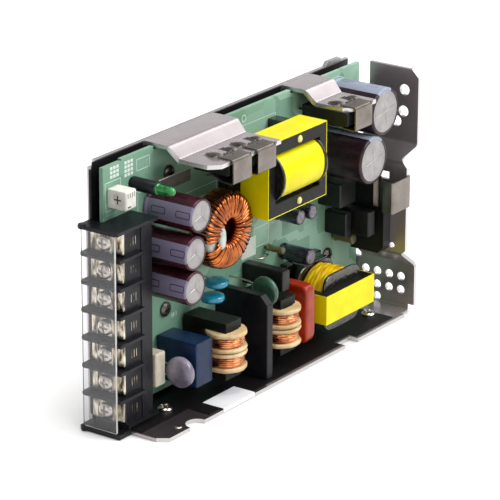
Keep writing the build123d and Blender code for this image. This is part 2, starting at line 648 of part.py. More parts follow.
def capacitor_sleeve(radius, height):
    """Shrunk plastic sleeve that wraps the can and lips over its outer end."""
    crown = 0.14 * radius
    outer = Cylinder(radius, height, align=(Align.CENTER, Align.CENTER, Align.MIN))
    outer = chamfer(outer.edges().group_by(Axis.Z)[-1], crown)
    core = Cylinder(radius - SLEEVE, height - SLEEVE, align=(Align.CENTER, Align.CENTER, Align.MIN))
    core = chamfer(core.edges().group_by(Axis.Z)[-1], crown)
    window = Cylinder(radius * 0.8, height * 3)
    return outer - core - window


def small_capacitors():
    """Three small electrolytic capacitors, each a closed can."""
    cans = []
    for x, z, radius, height in SMALL_CAPACITORS:
        can = Cylinder(radius, height, align=(Align.CENTER, Align.CENTER, Align.MIN))
        can = chamfer(can.edges().group_by(Axis.Z)[-1], 0.15 * radius)
        cans.append(seat(x, z) * can)
    return cans


def ring_section(build):
    """Section of the wound ring with its build of wire taken off, drawn in the XZ plane beside the axis."""
    outer = TOROID_OUTER - build
    inner = TOROID_INNER + build
    section = Rectangle(outer - inner, TOROID_THICKNESS - 2 * build)
    corner = WINDING_CORNER - build * (2 - math.sqrt(2))
    return Pos((outer + inner) / 2, 0) * chamfer(section.vertices(), corner)


def toroid_core():
    """Pressed powder ring with bevelled edges."""
    ring = revolve(Plane.XZ * ring_section(WINDING_BUILD), Axis.Z)
    return seat(*TOROID_AT) * Pos(0, 0, TOROID_MID_HEIGHT) * ring


def toroid_winding():
    """Turns of wire, side by side in the throat and fanned out round the rim, with a gap between the ends."""
    loop = ring_section(0) - ring_section(WINDING_BUILD - WIRE_CLEARANCE)
    turn = extrude(Plane.XZ * loop, TURN_WIDTH / 2, both=True)
    place = seat(*TOROID_AT) * Pos(0, 0, TOROID_MID_HEIGHT)
    first = GAP_ANGLE + (360 - WOUND_ANGLE) / 2
    pitch = WOUND_ANGLE / (TURNS - 1)
    return [place * Rot(0, 0, first + k * pitch) * turn for k in range(TURNS)]


def toroid_base():
    """Moulded cradle: a square foot on the board and a round pad under the ring."""
    top = TOROID_MID_HEIGHT - TOROID_THICKNESS / 2
    foot = Box(TOROID_FOOT, TOROID_FOOT, TOROID_FOOT_HEIGHT, align=(Align.CENTER, Align.CENTER, Align.MIN))
    foot = fillet(foot.edges().filter_by(Axis.Z), 2.0)
    radius = (TOROID_OUTER + TOROID_INNER) / 2
    pad = Cylinder(radius, top, align=(Align.CENTER, Align.CENTER, Align.MIN))
    return seat(*TOROID_AT) * (foot + pad)


def transformer_frame():
    """Half sizes of the core inside its tape."""
    return TRANSFORMER_LENGTH / 2 - TAPE, TRANSFORMER_WIDTH / 2 - TAPE


def transformer_core():
    """Closed ferrite core: two end yokes, two outer legs and a round centre leg."""
    half_x, half_y = transformer_frame()
    middle = TRANSFORMER_CORE_BOTTOM + TRANSFORMER_CORE_THICKNESS / 2
    outer = Box(2 * half_x, 2 * half_y, TRANSFORMER_CORE_THICKNESS)
    window = Box(2 * (half_x - CORE_YOKE), 2 * (half_y - CORE_LEG), TRANSFORMER_CORE_THICKNESS + 2)
    leg = Rot(0, 90, 0) * Cylinder(CORE_CENTRE_RADIUS, 2 * half_x - 1)
    return seat(*TRANSFORMER_AT) * Pos(0, 0, middle) * (outer - window + leg)


def transformer_tape():
    """Yellow tape wound once round the outside of the core."""
    middle = TRANSFORMER_CORE_BOTTOM + TRANSFORMER_CORE_THICKNESS / 2
    half_x, half_y = transformer_frame()
    band = Box(TRANSFORMER_LENGTH, TRANSFORMER_WIDTH, TRANSFORMER_CORE_THICKNESS)
    band -= Box(2 * half_x, 2 * half_y, TRANSFORMER_CORE_THICKNESS + 2)
    return seat(*TRANSFORMER_AT) * Pos(0, 0, middle) * band


def transformer_bobbin():
    """Bobbin tube and cheeks, with a pin rail under each end that stands on the board."""
    half_x, half_y = transformer_frame()
    window = half_x - CORE_YOKE
    middle = TRANSFORMER_CORE_BOTTOM + TRANSFORMER_CORE_THICKNESS / 2
    bore = CORE_CENTRE_RADIUS + BOBBIN_WALL
    tube = Rot(0, 90, 0) * Cylinder(bore, 2 * window)
    cheek = Rot(0, 90, 0) * Cylinder(WINDING_RADIUS + 0.4, CHEEK)
    side = half_y - CORE_LEG
    spool = Pos(0, 0, middle) * (tube + [Pos(s * (window - CHEEK / 2), 0, 0) * cheek for s in (-1, 1)])
    spool &= Pos(0, 0, middle) * Box(2 * window, 2 * side, 60)
    rail_height = TRANSFORMER_CORE_BOTTOM
    rail = Box(CORE_YOKE + CHEEK, 2 * side + 6, rail_height, align=(Align.CENTER, Align.CENTER, Align.MIN))
    rails = [Pos(s * (window - CHEEK + (CORE_YOKE + CHEEK) / 2), 0, 0) * rail for s in (-1, 1)]
    bore_cut = Pos(0, 0, middle) * Rot(0, 90, 0) * Cylinder(CORE_CENTRE_RADIUS, 4 * window)
    return seat(*TRANSFORMER_AT) * (spool + rails - bore_cut)


def transformer_winding():
    """Finished winding under its yellow tape, bulging past the core."""
    half_x, half_y = transformer_frame()
    length = 2 * (half_x - CORE_YOKE - CHEEK)
    middle = TRANSFORMER_CORE_BOTTOM + TRANSFORMER_CORE_THICKNESS / 2
    coil = Cylinder(WINDING_RADIUS, length) - Cylinder(CORE_CENTRE_RADIUS + BOBBIN_WALL, length + 2)
    coil = Rot(0, 90, 0) * coil
    side = half_y - CORE_LEG
    coil &= Box(length + 2, 2 * side - 0.1, 60)
    return seat(*TRANSFORMER_AT) * Pos(0, 0, middle) * coil


def small_frame():
    """Half length, half thickness and height limits of the standby transformer core inside its tape."""
    return (SMALL_TRANSFORMER_LENGTH / 2 - TAPE, SMALL_TRANSFORMER_THICKNESS / 2,
            SMALL_TRANSFORMER_BOTTOM + TAPE, SMALL_TRANSFORMER_TOP - TAPE)


def small_transformer_core():
    """Closed ferrite core standing on edge, with its centre leg at right angles to the board."""
    half, thin, low, high = small_frame()
    outer = block(-half, half, -thin, thin, low, high)
    inner_low = low + SMALL_YOKE
    inner_high = high - SMALL_YOKE
    centre = SMALL_CENTRE / 2
    for side in (-1, 1):
        edges = sorted((side * centre, side * (half - SMALL_LEG)))
        outer -= block(*edges, -thin - 1, thin + 1, inner_low, inner_high)
    return seat(*SMALL_TRANSFORMER_AT) * outer


def small_transformer_tape():
    """Yellow tape wound round the outside of the standby transformer core."""
    half, thin, low, high = small_frame()
    band = block(-half - TAPE, half + TAPE, -thin, thin, low - TAPE, high + TAPE)
    band -= block(-half, half, -thin - 1, thin + 1, low, high)
    return seat(*SMALL_TRANSFORMER_AT) * band


def small_transformer_window():
    """Clear length and width that the standby bobbin has inside the core."""
    half, thin, low, high = small_frame()
    return low + SMALL_YOKE, high - SMALL_YOKE, half - SMALL_LEG


def small_transformer_bobbin():
    """Bobbin with rounded cheeks, and a pin base that straddles the core and stands on the board."""
    half, thin, low, high = small_frame()
    bottom, top, reach = small_transformer_window()
    wall = SMALL_CENTRE / 2 + BOBBIN_WALL
    deep = thin + BOBBIN_WALL
    tube = block(-wall, wall, -deep, deep, bottom, top)
    cheek_radius = SMALL_WINDING_RADIUS + 0.8
    cheek = Cylinder(cheek_radius, CHEEK, align=(Align.CENTER, Align.CENTER, Align.MIN))
    cheek &= Box(2 * reach - 0.2, 60, 60)
    spool = tube + Pos(0, 0, bottom) * cheek + Pos(0, 0, top - CHEEK) * cheek
    edge = thin + 0.2
    for side in (-1, 1):
        edges = sorted((side * edge, side * cheek_radius))
        spool += block(-7.5, 7.5, *edges, 0, bottom + CHEEK)
    spool += block(-11.0, 11.0, -cheek_radius, cheek_radius, 0, SMALL_TRANSFORMER_BOTTOM - 0.2)
    leg = SMALL_CENTRE / 2
    spool -= block(-leg, leg, -thin, thin, bottom - 1, top + 1)
    return seat(*SMALL_TRANSFORMER_AT) * spool


def small_transformer_winding():
    """Round winding under yellow tape, bulging past both faces of the core."""
    bottom, top, reach = small_transformer_window()
    thin = SMALL_TRANSFORMER_THICKNESS / 2
    low = bottom + CHEEK
    coil = Pos(0, 0, low) * Cylinder(SMALL_WINDING_RADIUS, top - CHEEK - low,
                                     align=(Align.CENTER, Align.CENTER, Align.MIN))
    coil &= Box(2 * reach - 0.3, 60, 60)
    wall = SMALL_CENTRE / 2 + BOBBIN_WALL
    deep = thin + BOBBIN_WALL
    coil -= block(-wall, wall, -deep, deep, 0, 60)
    return seat(*SMALL_TRANSFORMER_AT) * coil


def choke_levels():
    """Heights above the foot of the choke at which its flanges and coils begin."""
    levels = [0.0]
    for thickness in CHOKE_SECTIONS:
        levels.append(levels[-1] + thickness)
    return levels


def choke_axis(index):
    """Foot point of the axis of one choke."""
    x, z = CHOKES_AT[index]
    return x, BOARD_FACE - CHOKE_AXIS_HEIGHT, z


def choke_bobbin(index):
    """Sectioned bobbin with end flanges, a double middle flange and side rails below that reach the board."""
    levels = choke_levels()
    profile = Cylinder(CHOKE_HUB_RADIUS, levels[-1], align=(Align.CENTER, Align.CENTER, Align.MIN))
    for k in (0, 2, 4):
        flange = Cylinder(CHOKE_FLANGE_RADIUS, levels[k + 1] - levels[k],
                          align=(Align.CENTER, Align.CENTER, Align.MIN))
        profile += Pos(0, 0, levels[k]) * flange
    groove = Cylinder(CHOKE_FLANGE_RADIUS + 1, 0.6) - Cylinder(CHOKE_HUB_RADIUS + 1.2, 0.7)
    profile -= Pos(0, 0, (levels[2] + levels[3]) / 2) * groove
    inner = CHOKE_CORE_WIDTH / 2 + 0.2
    for side in (-1, 1):
        edges = sorted((side * inner, side * (inner + 1.8)))
        profile += block(*edges, 3.0, CHOKE_AXIS_HEIGHT, 0, levels[1])
    profile -= Cylinder(CHOKE_LEG_RADIUS, 60)
    return Pos(*choke_axis(index)) * profile


def choke_winding(index):
    """Two coils of thick wire, each with the ridges of its turns."""
    levels = choke_levels()
    turns = 2
    coils = []
    for low, high in ((levels[1], levels[2]), (levels[3], levels[4])):
        pitch = (high - low) / turns
        points = [(CHOKE_HUB_RADIUS, low)]
        for k in range(turns):
            points.append((CHOKE_COIL_RADIUS - 0.25, low + k * pitch))
            points.append((CHOKE_COIL_RADIUS, low + (k + 0.5) * pitch))
        points.append((CHOKE_COIL_RADIUS - 0.25, high))
        points.append((CHOKE_HUB_RADIUS, high))
        coils.append(Pos(*choke_axis(index)) * revolve(Plane.XZ * Polygon(*points, align=None), Axis.Z))
    return coils


def choke_core(index):
    """Closed ferrite core: a round leg through the bobbin, two bars and a return leg near the board."""
    top = choke_levels()[-1]
    half = CHOKE_CORE_WIDTH / 2
    front = -CHOKE_LEG_RADIUS - 0.4
    back = CHOKE_AXIS_HEIGHT - CHOKE_CORE_BACK_GAP
    bar = CHOKE_CORE_BAR
    core = block(-half, half, front, back, -bar, 0)
    core += block(-half, half, front, back, top, top + bar)
    core += block(-half, half, back - bar, back, -bar, top + bar)
    core += Cylinder(CHOKE_LEG_RADIUS, top, align=(Align.CENTER, Align.CENTER, Align.MIN))
    return Pos(*choke_axis(index)) * core


def flat_device(x, width, length, thickness):
    """Moulded power device laid against the underside of a ledge, its three leads running to the board."""
    top = LEDGE_UNDER
    back = DEVICE_FRONT + length
    body = block(x - width / 2, x + width / 2, DEVICE_FRONT, back, top - thickness, top)
    body = chamfer(body.edges().group_by(Axis.Y)[0].filter_by(Axis.X), 0.6)
    pitch = width / 4
    level = top - thickness * 0.6
    for k in (-1, 0, 1):
        mid = x + k * pitch
        body += block(mid - 0.4, mid + 0.4, back - 0.5, BOARD_FACE, level - 0.3, level + 0.3)
    return body


def clip_section(height, grip):
    """Section of a clip: local X is depth from its front face, local Y is height below its outer face."""
    half = CLIP_THICKNESS / 2
    inner = height - grip
    points = ((CLIP_LEG, -half), (half, -half), (half, -height + half),
              (CLIP_LEG * 0.45, -height + half + inner * 0.1), (CLIP_LEG * 0.8, -grip - half),
              (CLIP_LEG, -grip - half - 0.9))
    return strip_face(points, CLIP_THICKNESS, CLIP_BEND)


def spring_clip(width, height, grip):
    """Bent spring clip lying on local Z = 0 with its front at local X = 0 and its width along local Y."""
    section = Plane(origin=(0, width / 2, 0), x_dir=(1, 0, 0), z_dir=(0, -1, 0)) * clip_section(height, grip)
    clip = extrude(section, width, dir=(0, -1, 0))
    gap = width / 2 - PRONG_WIDTH
    clip -= block(CLIP_LEG - 5.0, CLIP_LEG + 1, -gap, gap, -CLIP_THICKNESS * 2, 1)
    for side in (-1, 1):
        mid = side * (width - PRONG_WIDTH) / 2
        clip += block(CLIP_LEG - 1.2, CLIP_LEG, mid - PRONG_WIDTH / 2, mid + PRONG_WIDTH / 2,
                      -CLIP_THICKNESS - 1.1, -CLIP_THICKNESS * 0.5)
    return clip


def top_clips():
    """Three clips that press the power devices against the ledges."""
    clips = []
    for x, thickness in ((DEVICES_X[0], DEVICE_THICKNESS), (DEVICES_X[1], DEVICE_THICKNESS),
                         (SWITCH_X, SWITCH_THICKNESS)):
        grip = CLIP_THICKNESS + SHEET + thickness
        clip = spring_clip(CLIP_WIDTH, CLIP_HEIGHT, grip)
        place = Plane(origin=(x, CLIP_FRONT, LEDGE_TOP + CLIP_THICKNESS), x_dir=(0, 1, 0), z_dir=(0, 0, 1))
        clips.append(place.location * clip)
    return clips


def end_clip():
    """Clip that presses the bridge rectifier against the clamping panel."""
    grip = CLIP_THICKNESS + SHEET + BRIDGE_THICKNESS
    clip = spring_clip(END_CLIP_WIDTH, END_CLIP_HEIGHT, grip)
    place = Plane(origin=(PANEL_INNER + SHEET + CLIP_THICKNESS, CLIP_FRONT, END_CLIP_Z),
                  x_dir=(0, 1, 0), z_dir=(1, 0, 0))
    return place.location * clip


def bridge_rectifier():
    """Flat rectifier against the clamping panel, with four leads to the board and one bevelled corner."""
    right = PANEL_INNER
    left = right - BRIDGE_THICKNESS
    back = BRIDGE_FRONT + BRIDGE_DEPTH
    body = block(left, right, BRIDGE_FRONT, back, BRIDGE_BOTTOM, BRIDGE_BOTTOM + BRIDGE_LENGTH)
    corner = body.edges().filter_by(Axis.X).group_by(Axis.Z)[0].sort_by(Axis.Y)[0]
    body = chamfer(corner, 2.5)
    mid = (left + right) / 2
    for k in range(4):
        z = BRIDGE_BOTTOM + BRIDGE_LENGTH * (0.14 + 0.24 * k)
        body += block(mid - 0.4, mid + 0.4, back - 0.5, BOARD_FACE, z - 0.5, z + 0.5)
    return body


def board_box(values, edge):
    """Rectangular component with softened edges, seated on the board."""
    x, z, width, tall, height = values
    box = Box(width, tall, height, align=(Align.CENTER, Align.CENTER, Align.MIN))
    outer = box.edges().group_by(Axis.Z)[-1] + box.edges().filter_by(Axis.Z)
    return seat(x, z) * chamfer(outer, edge)


def leads(x, z, across, height):
    """Pair of straight leads from the board to a raised body, spread along Z or along X."""
    pair = []
    for side in (-1, 1):
        shift = side * LEAD_SPREAD / 2
        place = (x, z + shift) if across == "z" else (x + shift, z)
        lead = Cylinder(LEAD_RADIUS, height, align=(Align.CENTER, Align.CENTER, Align.MIN))
        pair.append(seat(*place) * lead)
    return pair


def red_film_capacitor():
    """Dipped film capacitor held off the board by its leads."""
    x, z, width, tall, height = RED_CAPACITOR
    body = Box(width, tall, height, align=(Align.CENTER, Align.CENTER, Align.MIN))
    body = fillet(body.edges().filter_by(Axis.Z), 1.8)
    body = chamfer(body.edges().group_by(Axis.Z)[-1], 0.6)
    placed = seat(x, z) * Pos(0, 0, RED_CAPACITOR_LIFT) * body
    return placed + leads(x, z, "z", RED_CAPACITOR_LIFT + 1)


def standing_disc(values):
    """Dipped disc component standing on two leads, its faces towards the ends of the supply."""
    x, z, height, radius, thickness = values
    disc = Cylinder(radius, thickness)
    disc = chamfer(disc.edges().filter_by(GeomType.CIRCLE), thickness * 0.35)
    placed = seat(x, z) * Pos(0, 0, height) * Rot(0, 90, 0) * disc
    return placed + leads(x, z, "z", height - radius * 0.6)


def ceramic_capacitors():
    """Two dipped ceramic discs lying level, their leads running back to the board."""
    discs = []
    for x, z in CERAMIC_CAPACITORS:
        disc = Cylinder(CERAMIC_RADIUS, CERAMIC_THICKNESS)
        disc = chamfer(disc.edges().filter_by(GeomType.CIRCLE), CERAMIC_THICKNESS * 0.35)
        placed = seat(x, z) * Pos(0, 0, CERAMIC_HEIGHT) * Rot(90, 0, 0) * disc
        discs.append(placed + leads(x, z, "x", CERAMIC_HEIGHT - CERAMIC_RADIUS * 0.6))
    return discs


def resistors():
    """Two resistors standing on end."""
    return [seat(x, z) * chamfer(Cylinder(radius, height, align=(Align.CENTER, Align.CENTER, Align.MIN))
                                 .edges().group_by(Axis.Z)[-1], radius * 0.35)
            for x, z, radius, height in RESISTORS]


def partition():
    """Moulded wall between the two filter chokes, with a chamfered front corner."""
    c = PARTITION_CHAMFER
    outline = Polygon((PARTITION_FRONT, FLOOR), (BOARD_FACE, FLOOR), (BOARD_FACE, PARTITION_TOP),
                      (PARTITION_FRONT + c, PARTITION_TOP), (PARTITION_FRONT, PARTITION_TOP - c), align=None)
    return prism(side_plane(PARTITION_LEFT), outline, PARTITION_THICKNESS)


def label():
    """Bare label on the film of the base, turned down over the front edge."""
    left, right = LABEL_SPAN
    top = FLOOR + LABEL_THICKNESS
    sticker = block(left, right, -LABEL_THICKNESS, LABEL_DEPTH, FLOOR, top)
    return sticker + block(left, right, -LABEL_THICKNESS, 0, top - LABEL_FLAP, top)


def capacitor_set(names, places, radius, height, arms):
    """Cans and sleeves of one size of round capacitor, as separate pieces."""
    pieces = {}
    for number, (x, z) in enumerate(places, start=1):
        pieces[f"{names}_can_{number}"] = seat(x, z) * capacitor_can(radius, height, arms)
        pieces[f"{names}_sleeve_{number}"] = seat(x, z) * capacitor_sleeve(radius, height)
    return pieces


def all_pieces():
    """Every node of the supply by name."""
    pieces = {
        "chassis": chassis(),
        "insulation_sheet": insulation_sheet(),
        "circuit_board": circuit_board(),
        "board_spacers": board_spacers(),
        "board_screws": board_screws(),
        "base_screws": base_screws(),
        "terminal_block": terminal_block(),
        "terminal_cover": terminal_cover(),
        "terminal_plates": terminal_plates(),
        "terminal_washers": terminal_washers(),
        "terminal_screws": terminal_screws(),
        "trimmer_body": trimmer_body(),
        "trimmer_rotor": trimmer_rotor(),
        "led_spacer": led_spacer(),
        "led_lens": led_lens(),
        "small_capacitors": small_capacitors(),
        "toroid_core": toroid_core(),
        "toroid_winding": toroid_winding(),
        "toroid_base": toroid_base(),
        "transformer_core": transformer_core(),
        "transformer_tape": transformer_tape(),
        "transformer_bobbin": transformer_bobbin(),
        "transformer_winding": transformer_winding(),
        "small_transformer_core": small_transformer_core(),
        "small_transformer_tape": small_transformer_tape(),
        "small_transformer_bobbin": small_transformer_bobbin(),
        "small_transformer_winding": small_transformer_winding(),
        "output_diode_1": flat_device(DEVICES_X[0], DEVICE_WIDTH, DEVICE_LENGTH, DEVICE_THICKNESS),
        "output_diode_2": flat_device(DEVICES_X[1], DEVICE_WIDTH, DEVICE_LENGTH, DEVICE_THICKNESS),
        "switching_transistor": flat_device(SWITCH_X, SWITCH_WIDTH, SWITCH_LENGTH, SWITCH_THICKNESS),
        "top_clips": top_clips(),
        "end_clip": end_clip(),
        "bridge_rectifier": bridge_rectifier(),
        "blue_film_capacitor": board_box(BLUE_CAPACITOR, 0.5),
        "black_box_capacitor": board_box(BLACK_CAPACITOR, 0.4),
        "red_film_capacitor": red_film_capacitor(),
        "fuse_box": board_box(FUSE_BOX, 0.4),
        "power_packages": [board_box(values, 0.4) for values in POWER_PACKAGES],
        "varistor": standing_disc(VARISTOR),
        "thermistor": standing_disc(THERMISTOR),
        "ceramic_capacitors": ceramic_capacitors(),
        "resistors": resistors(),
        "partition": partition(),
        "label": label(),
    }
    pieces |= capacitor_set("output_capacitor", OUTPUT_CAPACITORS_AT, OUTPUT_CAPACITOR_RADIUS,
                            OUTPUT_CAPACITOR_HEIGHT, 3)
    pieces |= capacitor_set("input_capacitor", INPUT_CAPACITORS_AT, INPUT_CAPACITOR_RADIUS,
                            INPUT_CAPACITOR_HEIGHT, 4)
    for index in range(len(CHOKES_AT)):
        pieces[f"choke_bobbin_{index + 1}"] = choke_bobbin(index)
        pieces[f"choke_winding_{index + 1}"] = choke_winding(index)
        pieces[f"choke_core_{index + 1}"] = choke_core(index)
    return pieces


def write_piece(name, shape):
    """Write one node in the frame whose origin is the centre of the chassis base face."""
    solids = []
    for item in (shape if isinstance(shape, list) else [shape]):
        solids += item.solids()
    middle = Pos(-CHASSIS_LENGTH / 2, -CHASSIS_DEPTH / 2, 0)
    moved = [middle * solid for solid in solids]
    node = moved[0] if len(moved) == 1 else Compound(children=moved)
    node.label = name
    export_step(node, f"parts/{name}.step")


for piece_name, piece in all_pieces().items():
    write_piece(piece_name, piece)
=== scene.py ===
import math

import bmesh
import bpy
import numpy as np
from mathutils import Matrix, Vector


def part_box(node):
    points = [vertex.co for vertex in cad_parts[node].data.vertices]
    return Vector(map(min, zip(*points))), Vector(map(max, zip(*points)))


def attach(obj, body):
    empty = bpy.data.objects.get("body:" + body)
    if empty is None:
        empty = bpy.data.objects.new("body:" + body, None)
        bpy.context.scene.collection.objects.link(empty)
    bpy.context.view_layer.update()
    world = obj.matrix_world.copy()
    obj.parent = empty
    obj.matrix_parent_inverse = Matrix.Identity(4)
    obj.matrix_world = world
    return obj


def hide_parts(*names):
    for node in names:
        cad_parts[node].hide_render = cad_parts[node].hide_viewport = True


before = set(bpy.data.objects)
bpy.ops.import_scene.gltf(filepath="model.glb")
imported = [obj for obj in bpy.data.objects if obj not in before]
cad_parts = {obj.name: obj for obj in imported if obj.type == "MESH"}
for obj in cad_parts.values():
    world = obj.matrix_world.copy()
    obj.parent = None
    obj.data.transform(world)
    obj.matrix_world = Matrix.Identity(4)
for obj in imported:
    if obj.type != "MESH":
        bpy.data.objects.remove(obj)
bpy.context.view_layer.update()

# Chassis: one sheet of zinc-plated steel, 1.5 mm thick, punched and folded up into a base flange, a back
# plate, an end wall and two brackets that reach forward over the board. The plated faces are satin grey with
# a violet cast, darker on the bare left end of the base top, where a dark reflection is painted in, and the
# sheared edges are a brighter bare steel whose brightness is partly a painted highlight.

CHASSIS_CORNER = np.array((78.25, 16.05, 0.0))


def in_row(points):
    """Millimetres from the chassis corner as metres from the middle of its base: (point - corner) / 1000."""
    return (np.asarray(points, float) - CHASSIS_CORNER) / 1000


def light(red, green, blue):
    """Screen colour as linear light: ((c / 255 + 0.055) / 1.055) ** 2.4, and c / 255 / 12.92 in the darks."""
    c = np.array((red, green, blue)) / 255
    linear = np.where(c <= 0.04045, c / 12.92, ((c + 0.055) / 1.055) ** 2.4)
    return (*linear.tolist(), 1.0)


def coating(name, colour, **sockets):
    """Material with one shader, whose plain numbers stand on the shader's own sockets."""
    material = bpy.data.materials.new(name)
    material.use_nodes = True
    shader = material.node_tree.nodes["Principled BSDF"]
    shader.inputs["Base Color"].default_value = light(*colour)
    for socket, value in sockets.items():
        shader.inputs[socket.replace("_", " ")].default_value = value
    return material


def drive(material, socket, output):
    """The output of a node takes over a socket of the material's shader."""
    material.node_tree.links.new(output, material.node_tree.nodes["Principled BSDF"].inputs[socket])


def node(material, kind, inputs=(), **settings):
    """One more node: settings are its own, inputs are numbers or the outputs of other nodes."""
    made = material.node_tree.nodes.new(kind)
    for key, value in settings.items():
        setattr(made, key, value)
    for socket, value in dict(inputs).items():
        if isinstance(value, bpy.types.NodeSocket):
            material.node_tree.links.new(value, made.inputs[socket])
        else:
            made.inputs[socket].default_value = value
    return made


def maths(material, operation, *values):
    """Result of one step of arithmetic on numbers or the outputs of nodes."""
    return node(material, "ShaderNodeMath", dict(enumerate(values)), operation=operation).outputs[0]


def carried(material, value, low, high, from_low=0.0, from_high=1.0):
    """Value carried in a straight line from one span to the span from low to high, and held at its ends."""
    spans = {"Value": value, "From Min": from_low, "From Max": from_high, "To Min": low, "To Max": high}
    return node(material, "ShaderNodeMapRange", spans).outputs[0]


def blended(material, share, under, over):
    """Colour that is under where the share is 0 and over where it is 1."""
    return node(material, "ShaderNodeMix", {0: share, 6: under, 7: over}, data_type="RGBA").outputs[2]


def spot(material, stretch=(1, 1, 1)):
    """The point being shaded, in the coordinates of its piece, stretched along the axes."""
    place = node(material, "ShaderNodeTexCoord").outputs["Object"]
    return node(material, "ShaderNodeMapping", {"Vector": place, "Scale": stretch}).outputs[0]


def grain(material, scale, stretch=(1, 1, 1), detail=3.0):
    """Soft noise with scale grains to the metre."""
    inputs = {"Vector": spot(material, stretch), "Scale": scale, "Detail": detail}
    return node(material, "ShaderNodeTexNoise", inputs).outputs[0]


def ramp(material, pattern, dark, lit, levels):
    """Colour that runs from dark to lit while the pattern runs between two levels."""
    made = node(material, "ShaderNodeValToRGB", {0: pattern})
    for element, level, colour in zip(made.color_ramp.elements, levels, (dark, lit)):
        element.position = level
        element.color = light(*colour)
    return made.outputs[0]


def tint(material, scale, dark, lit, levels=(0.3, 0.7), **grains):
    """Base colour that wanders from dark to lit with a soft noise."""
    drive(material, "Base Color", ramp(material, grain(material, scale, **grains), dark, lit, levels))


def polish(material, scale, low, high, **grains):
    """Roughness that wanders from low to high with a soft noise."""
    drive(material, "Roughness", carried(material, grain(material, scale, **grains), low, high))


def relief(material, scale, depth, **grains):
    """Bumps that are depth millimetres high where a soft noise is 1."""
    inputs = {"Height": grain(material, scale, **grains), "Distance": depth / 1000, "Strength": 1.0}
    drive(material, "Normal", node(material, "ShaderNodeBump", inputs).outputs[0])


def linked(name, data):
    """New object of that name and data in the scene."""
    made = bpy.data.objects.new(name, data)
    bpy.context.scene.collection.objects.link(made)
    return made


def settle(piece, body, finish, *stands_for):
    """The piece rides on a body and stands for CAD pieces, which are hidden; finish is not used."""
    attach(piece, body)
    if stands_for:
        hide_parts(*stands_for)
    return piece


def softened(name, material, width, body="supply", finish="black_plastic", steps=2):
    """The CAD piece, doubles merged, flats made whole and each edge rounded by width millimetres."""
    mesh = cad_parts[name].data.copy()
    work = bmesh.new()
    work.from_mesh(mesh)
    bmesh.ops.remove_doubles(work, verts=work.verts, dist=2e-6)
    bmesh.ops.dissolve_limit(work, angle_limit=math.radians(0.6), verts=work.verts, edges=work.edges)
    work.to_mesh(mesh)
    work.free()
    mesh.materials.clear()
    mesh.materials.append(material)
    mesh.shade_smooth()
    mesh.set_sharp_from_angle(angle=math.radians(32))
    piece = linked(name + "_finished", mesh)
    if width:
        edges = piece.modifiers.new("rounded_edges", "BEVEL")
        edges.width = width / 1000
        edges.segments = steps
        edges.limit_method = "ANGLE"
        edges.angle_limit = math.radians(32)
        edges.harden_normals = True
    return settle(piece, body, finish, name)


def rows(items, field):
    """A field of three numbers of all vertices or faces of a mesh, as an array with a row for each."""
    flat = np.zeros(len(items) * 3)
    items.foreach_get(field, flat)
    return flat.reshape(-1, 3)


# levels in millimetres that tell the walls apart, and how far a normal lies along an axis
BASE_TOP = 1.6
BACK_FRONT = 30.5
BRACKET_FOOT = 85.0
TURNED_OFF = 0.4
SQUARE_ON = 0.6


def sheared(mesh):
    """True for the cut edges of the sheet: faces that turn off the normal of the wall they belong to."""
    x, y, z = (rows(mesh.polygons, "center") * 1000 + CHASSIS_CORNER).T
    across = np.abs(rows(mesh.polygons, "normal"))
    bracket = (z > BRACKET_FOOT) & (x < 130)
    base = (z < BASE_TOP) & (across[:, 2] < TURNED_OFF) & (x < 154)
    back = (y > BACK_FRONT) & (z > 4) & (across[:, 1] < TURNED_OFF)
    wall = (x > 148) & (y < 30) & (z > BASE_TOP) & (across[:, 1] > SQUARE_ON)
    sides = bracket & (y < BACK_FRONT) & (across[:, 0] > 0.9)
    lips = bracket & (y < 3) & (across[:, 1] > SQUARE_ON)
    return base | back | wall | sides | lips


zinc = coating("zinc_plated_steel", (186, 179, 180), Metallic=0.72, Roughness=0.25)
tint(zinc, 160, (182, 173, 175), (190, 182, 184))
polish(zinc, 260, 0.21, 0.29, stretch=(0.2, 1, 0.5))
relief(zinc, 1800, 0.0012, stretch=(0.1, 1, 0.5), detail=1.0)
# The bare left end of the base top is painted darker: a painted reflection of the dark terminal block above
# it.
place = node(zinc, "ShaderNodeSeparateXYZ", {0: spot(zinc)}).outputs
top_of_base = maths(zinc, "COMPARE", place[2], 0.0015, 0.0003)
left_end = maths(zinc, "LESS_THAN", place[0], -0.018)
painted_dark_reflection = maths(zinc, "MULTIPLY", top_of_base, left_end)
plated = zinc.node_tree.nodes["Principled BSDF"].inputs["Base Color"].links[0].from_socket
drive(zinc, "Base Color", blended(zinc, painted_dark_reflection, plated, light(98, 88, 92)))
# The sheared edges take a brighter steel: partly the bare steel of the cut, partly a painted highlight along
# the edges.
edge_steel_and_highlight = coating("sheared_edge_painted_highlight", (204, 201, 200), Metallic=0.85, Roughness=0.34)
polish(edge_steel_and_highlight, 1500, 0.26, 0.42)
chassis = softened("chassis", zinc, 0.14, finish="zinc_steel")
chassis.data.materials.append(edge_steel_and_highlight)
chassis.data.polygons.foreach_set("material_index", sheared(chassis.data).astype(np.int32))

# Insulation film: thin black sheet with a soft sheen, creased along the bend and laid between the board and
# the steel. On the base it stops short of the end wall. A strip of the black film over the back plate's left
# edge is painted shade on that edge.

FILM_END = 142.6
FILM_BASE_TOP = 0.0032


def bearings(count):
    """Directions evenly round a circle, in radians."""
    return np.linspace(0, 2 * math.pi, count, endpoint=False)


def shell(points, loop=False):
    """Four-sided faces of a grid of rings: each point joins the next on its ring and on the next ring."""
    rings, sides = points.shape[:2]
    here = np.arange(rings * sides).reshape(rings, sides)
    ahead = np.roll(here, -1, 0)
    if not loop:
        here, ahead = here[:-1], ahead[:-1]
    quads = np.stack((here, np.roll(here, -1, 1), np.roll(ahead, -1, 1), ahead), -1)
    return points.reshape(-1, 3), quads.reshape(-1, 4)


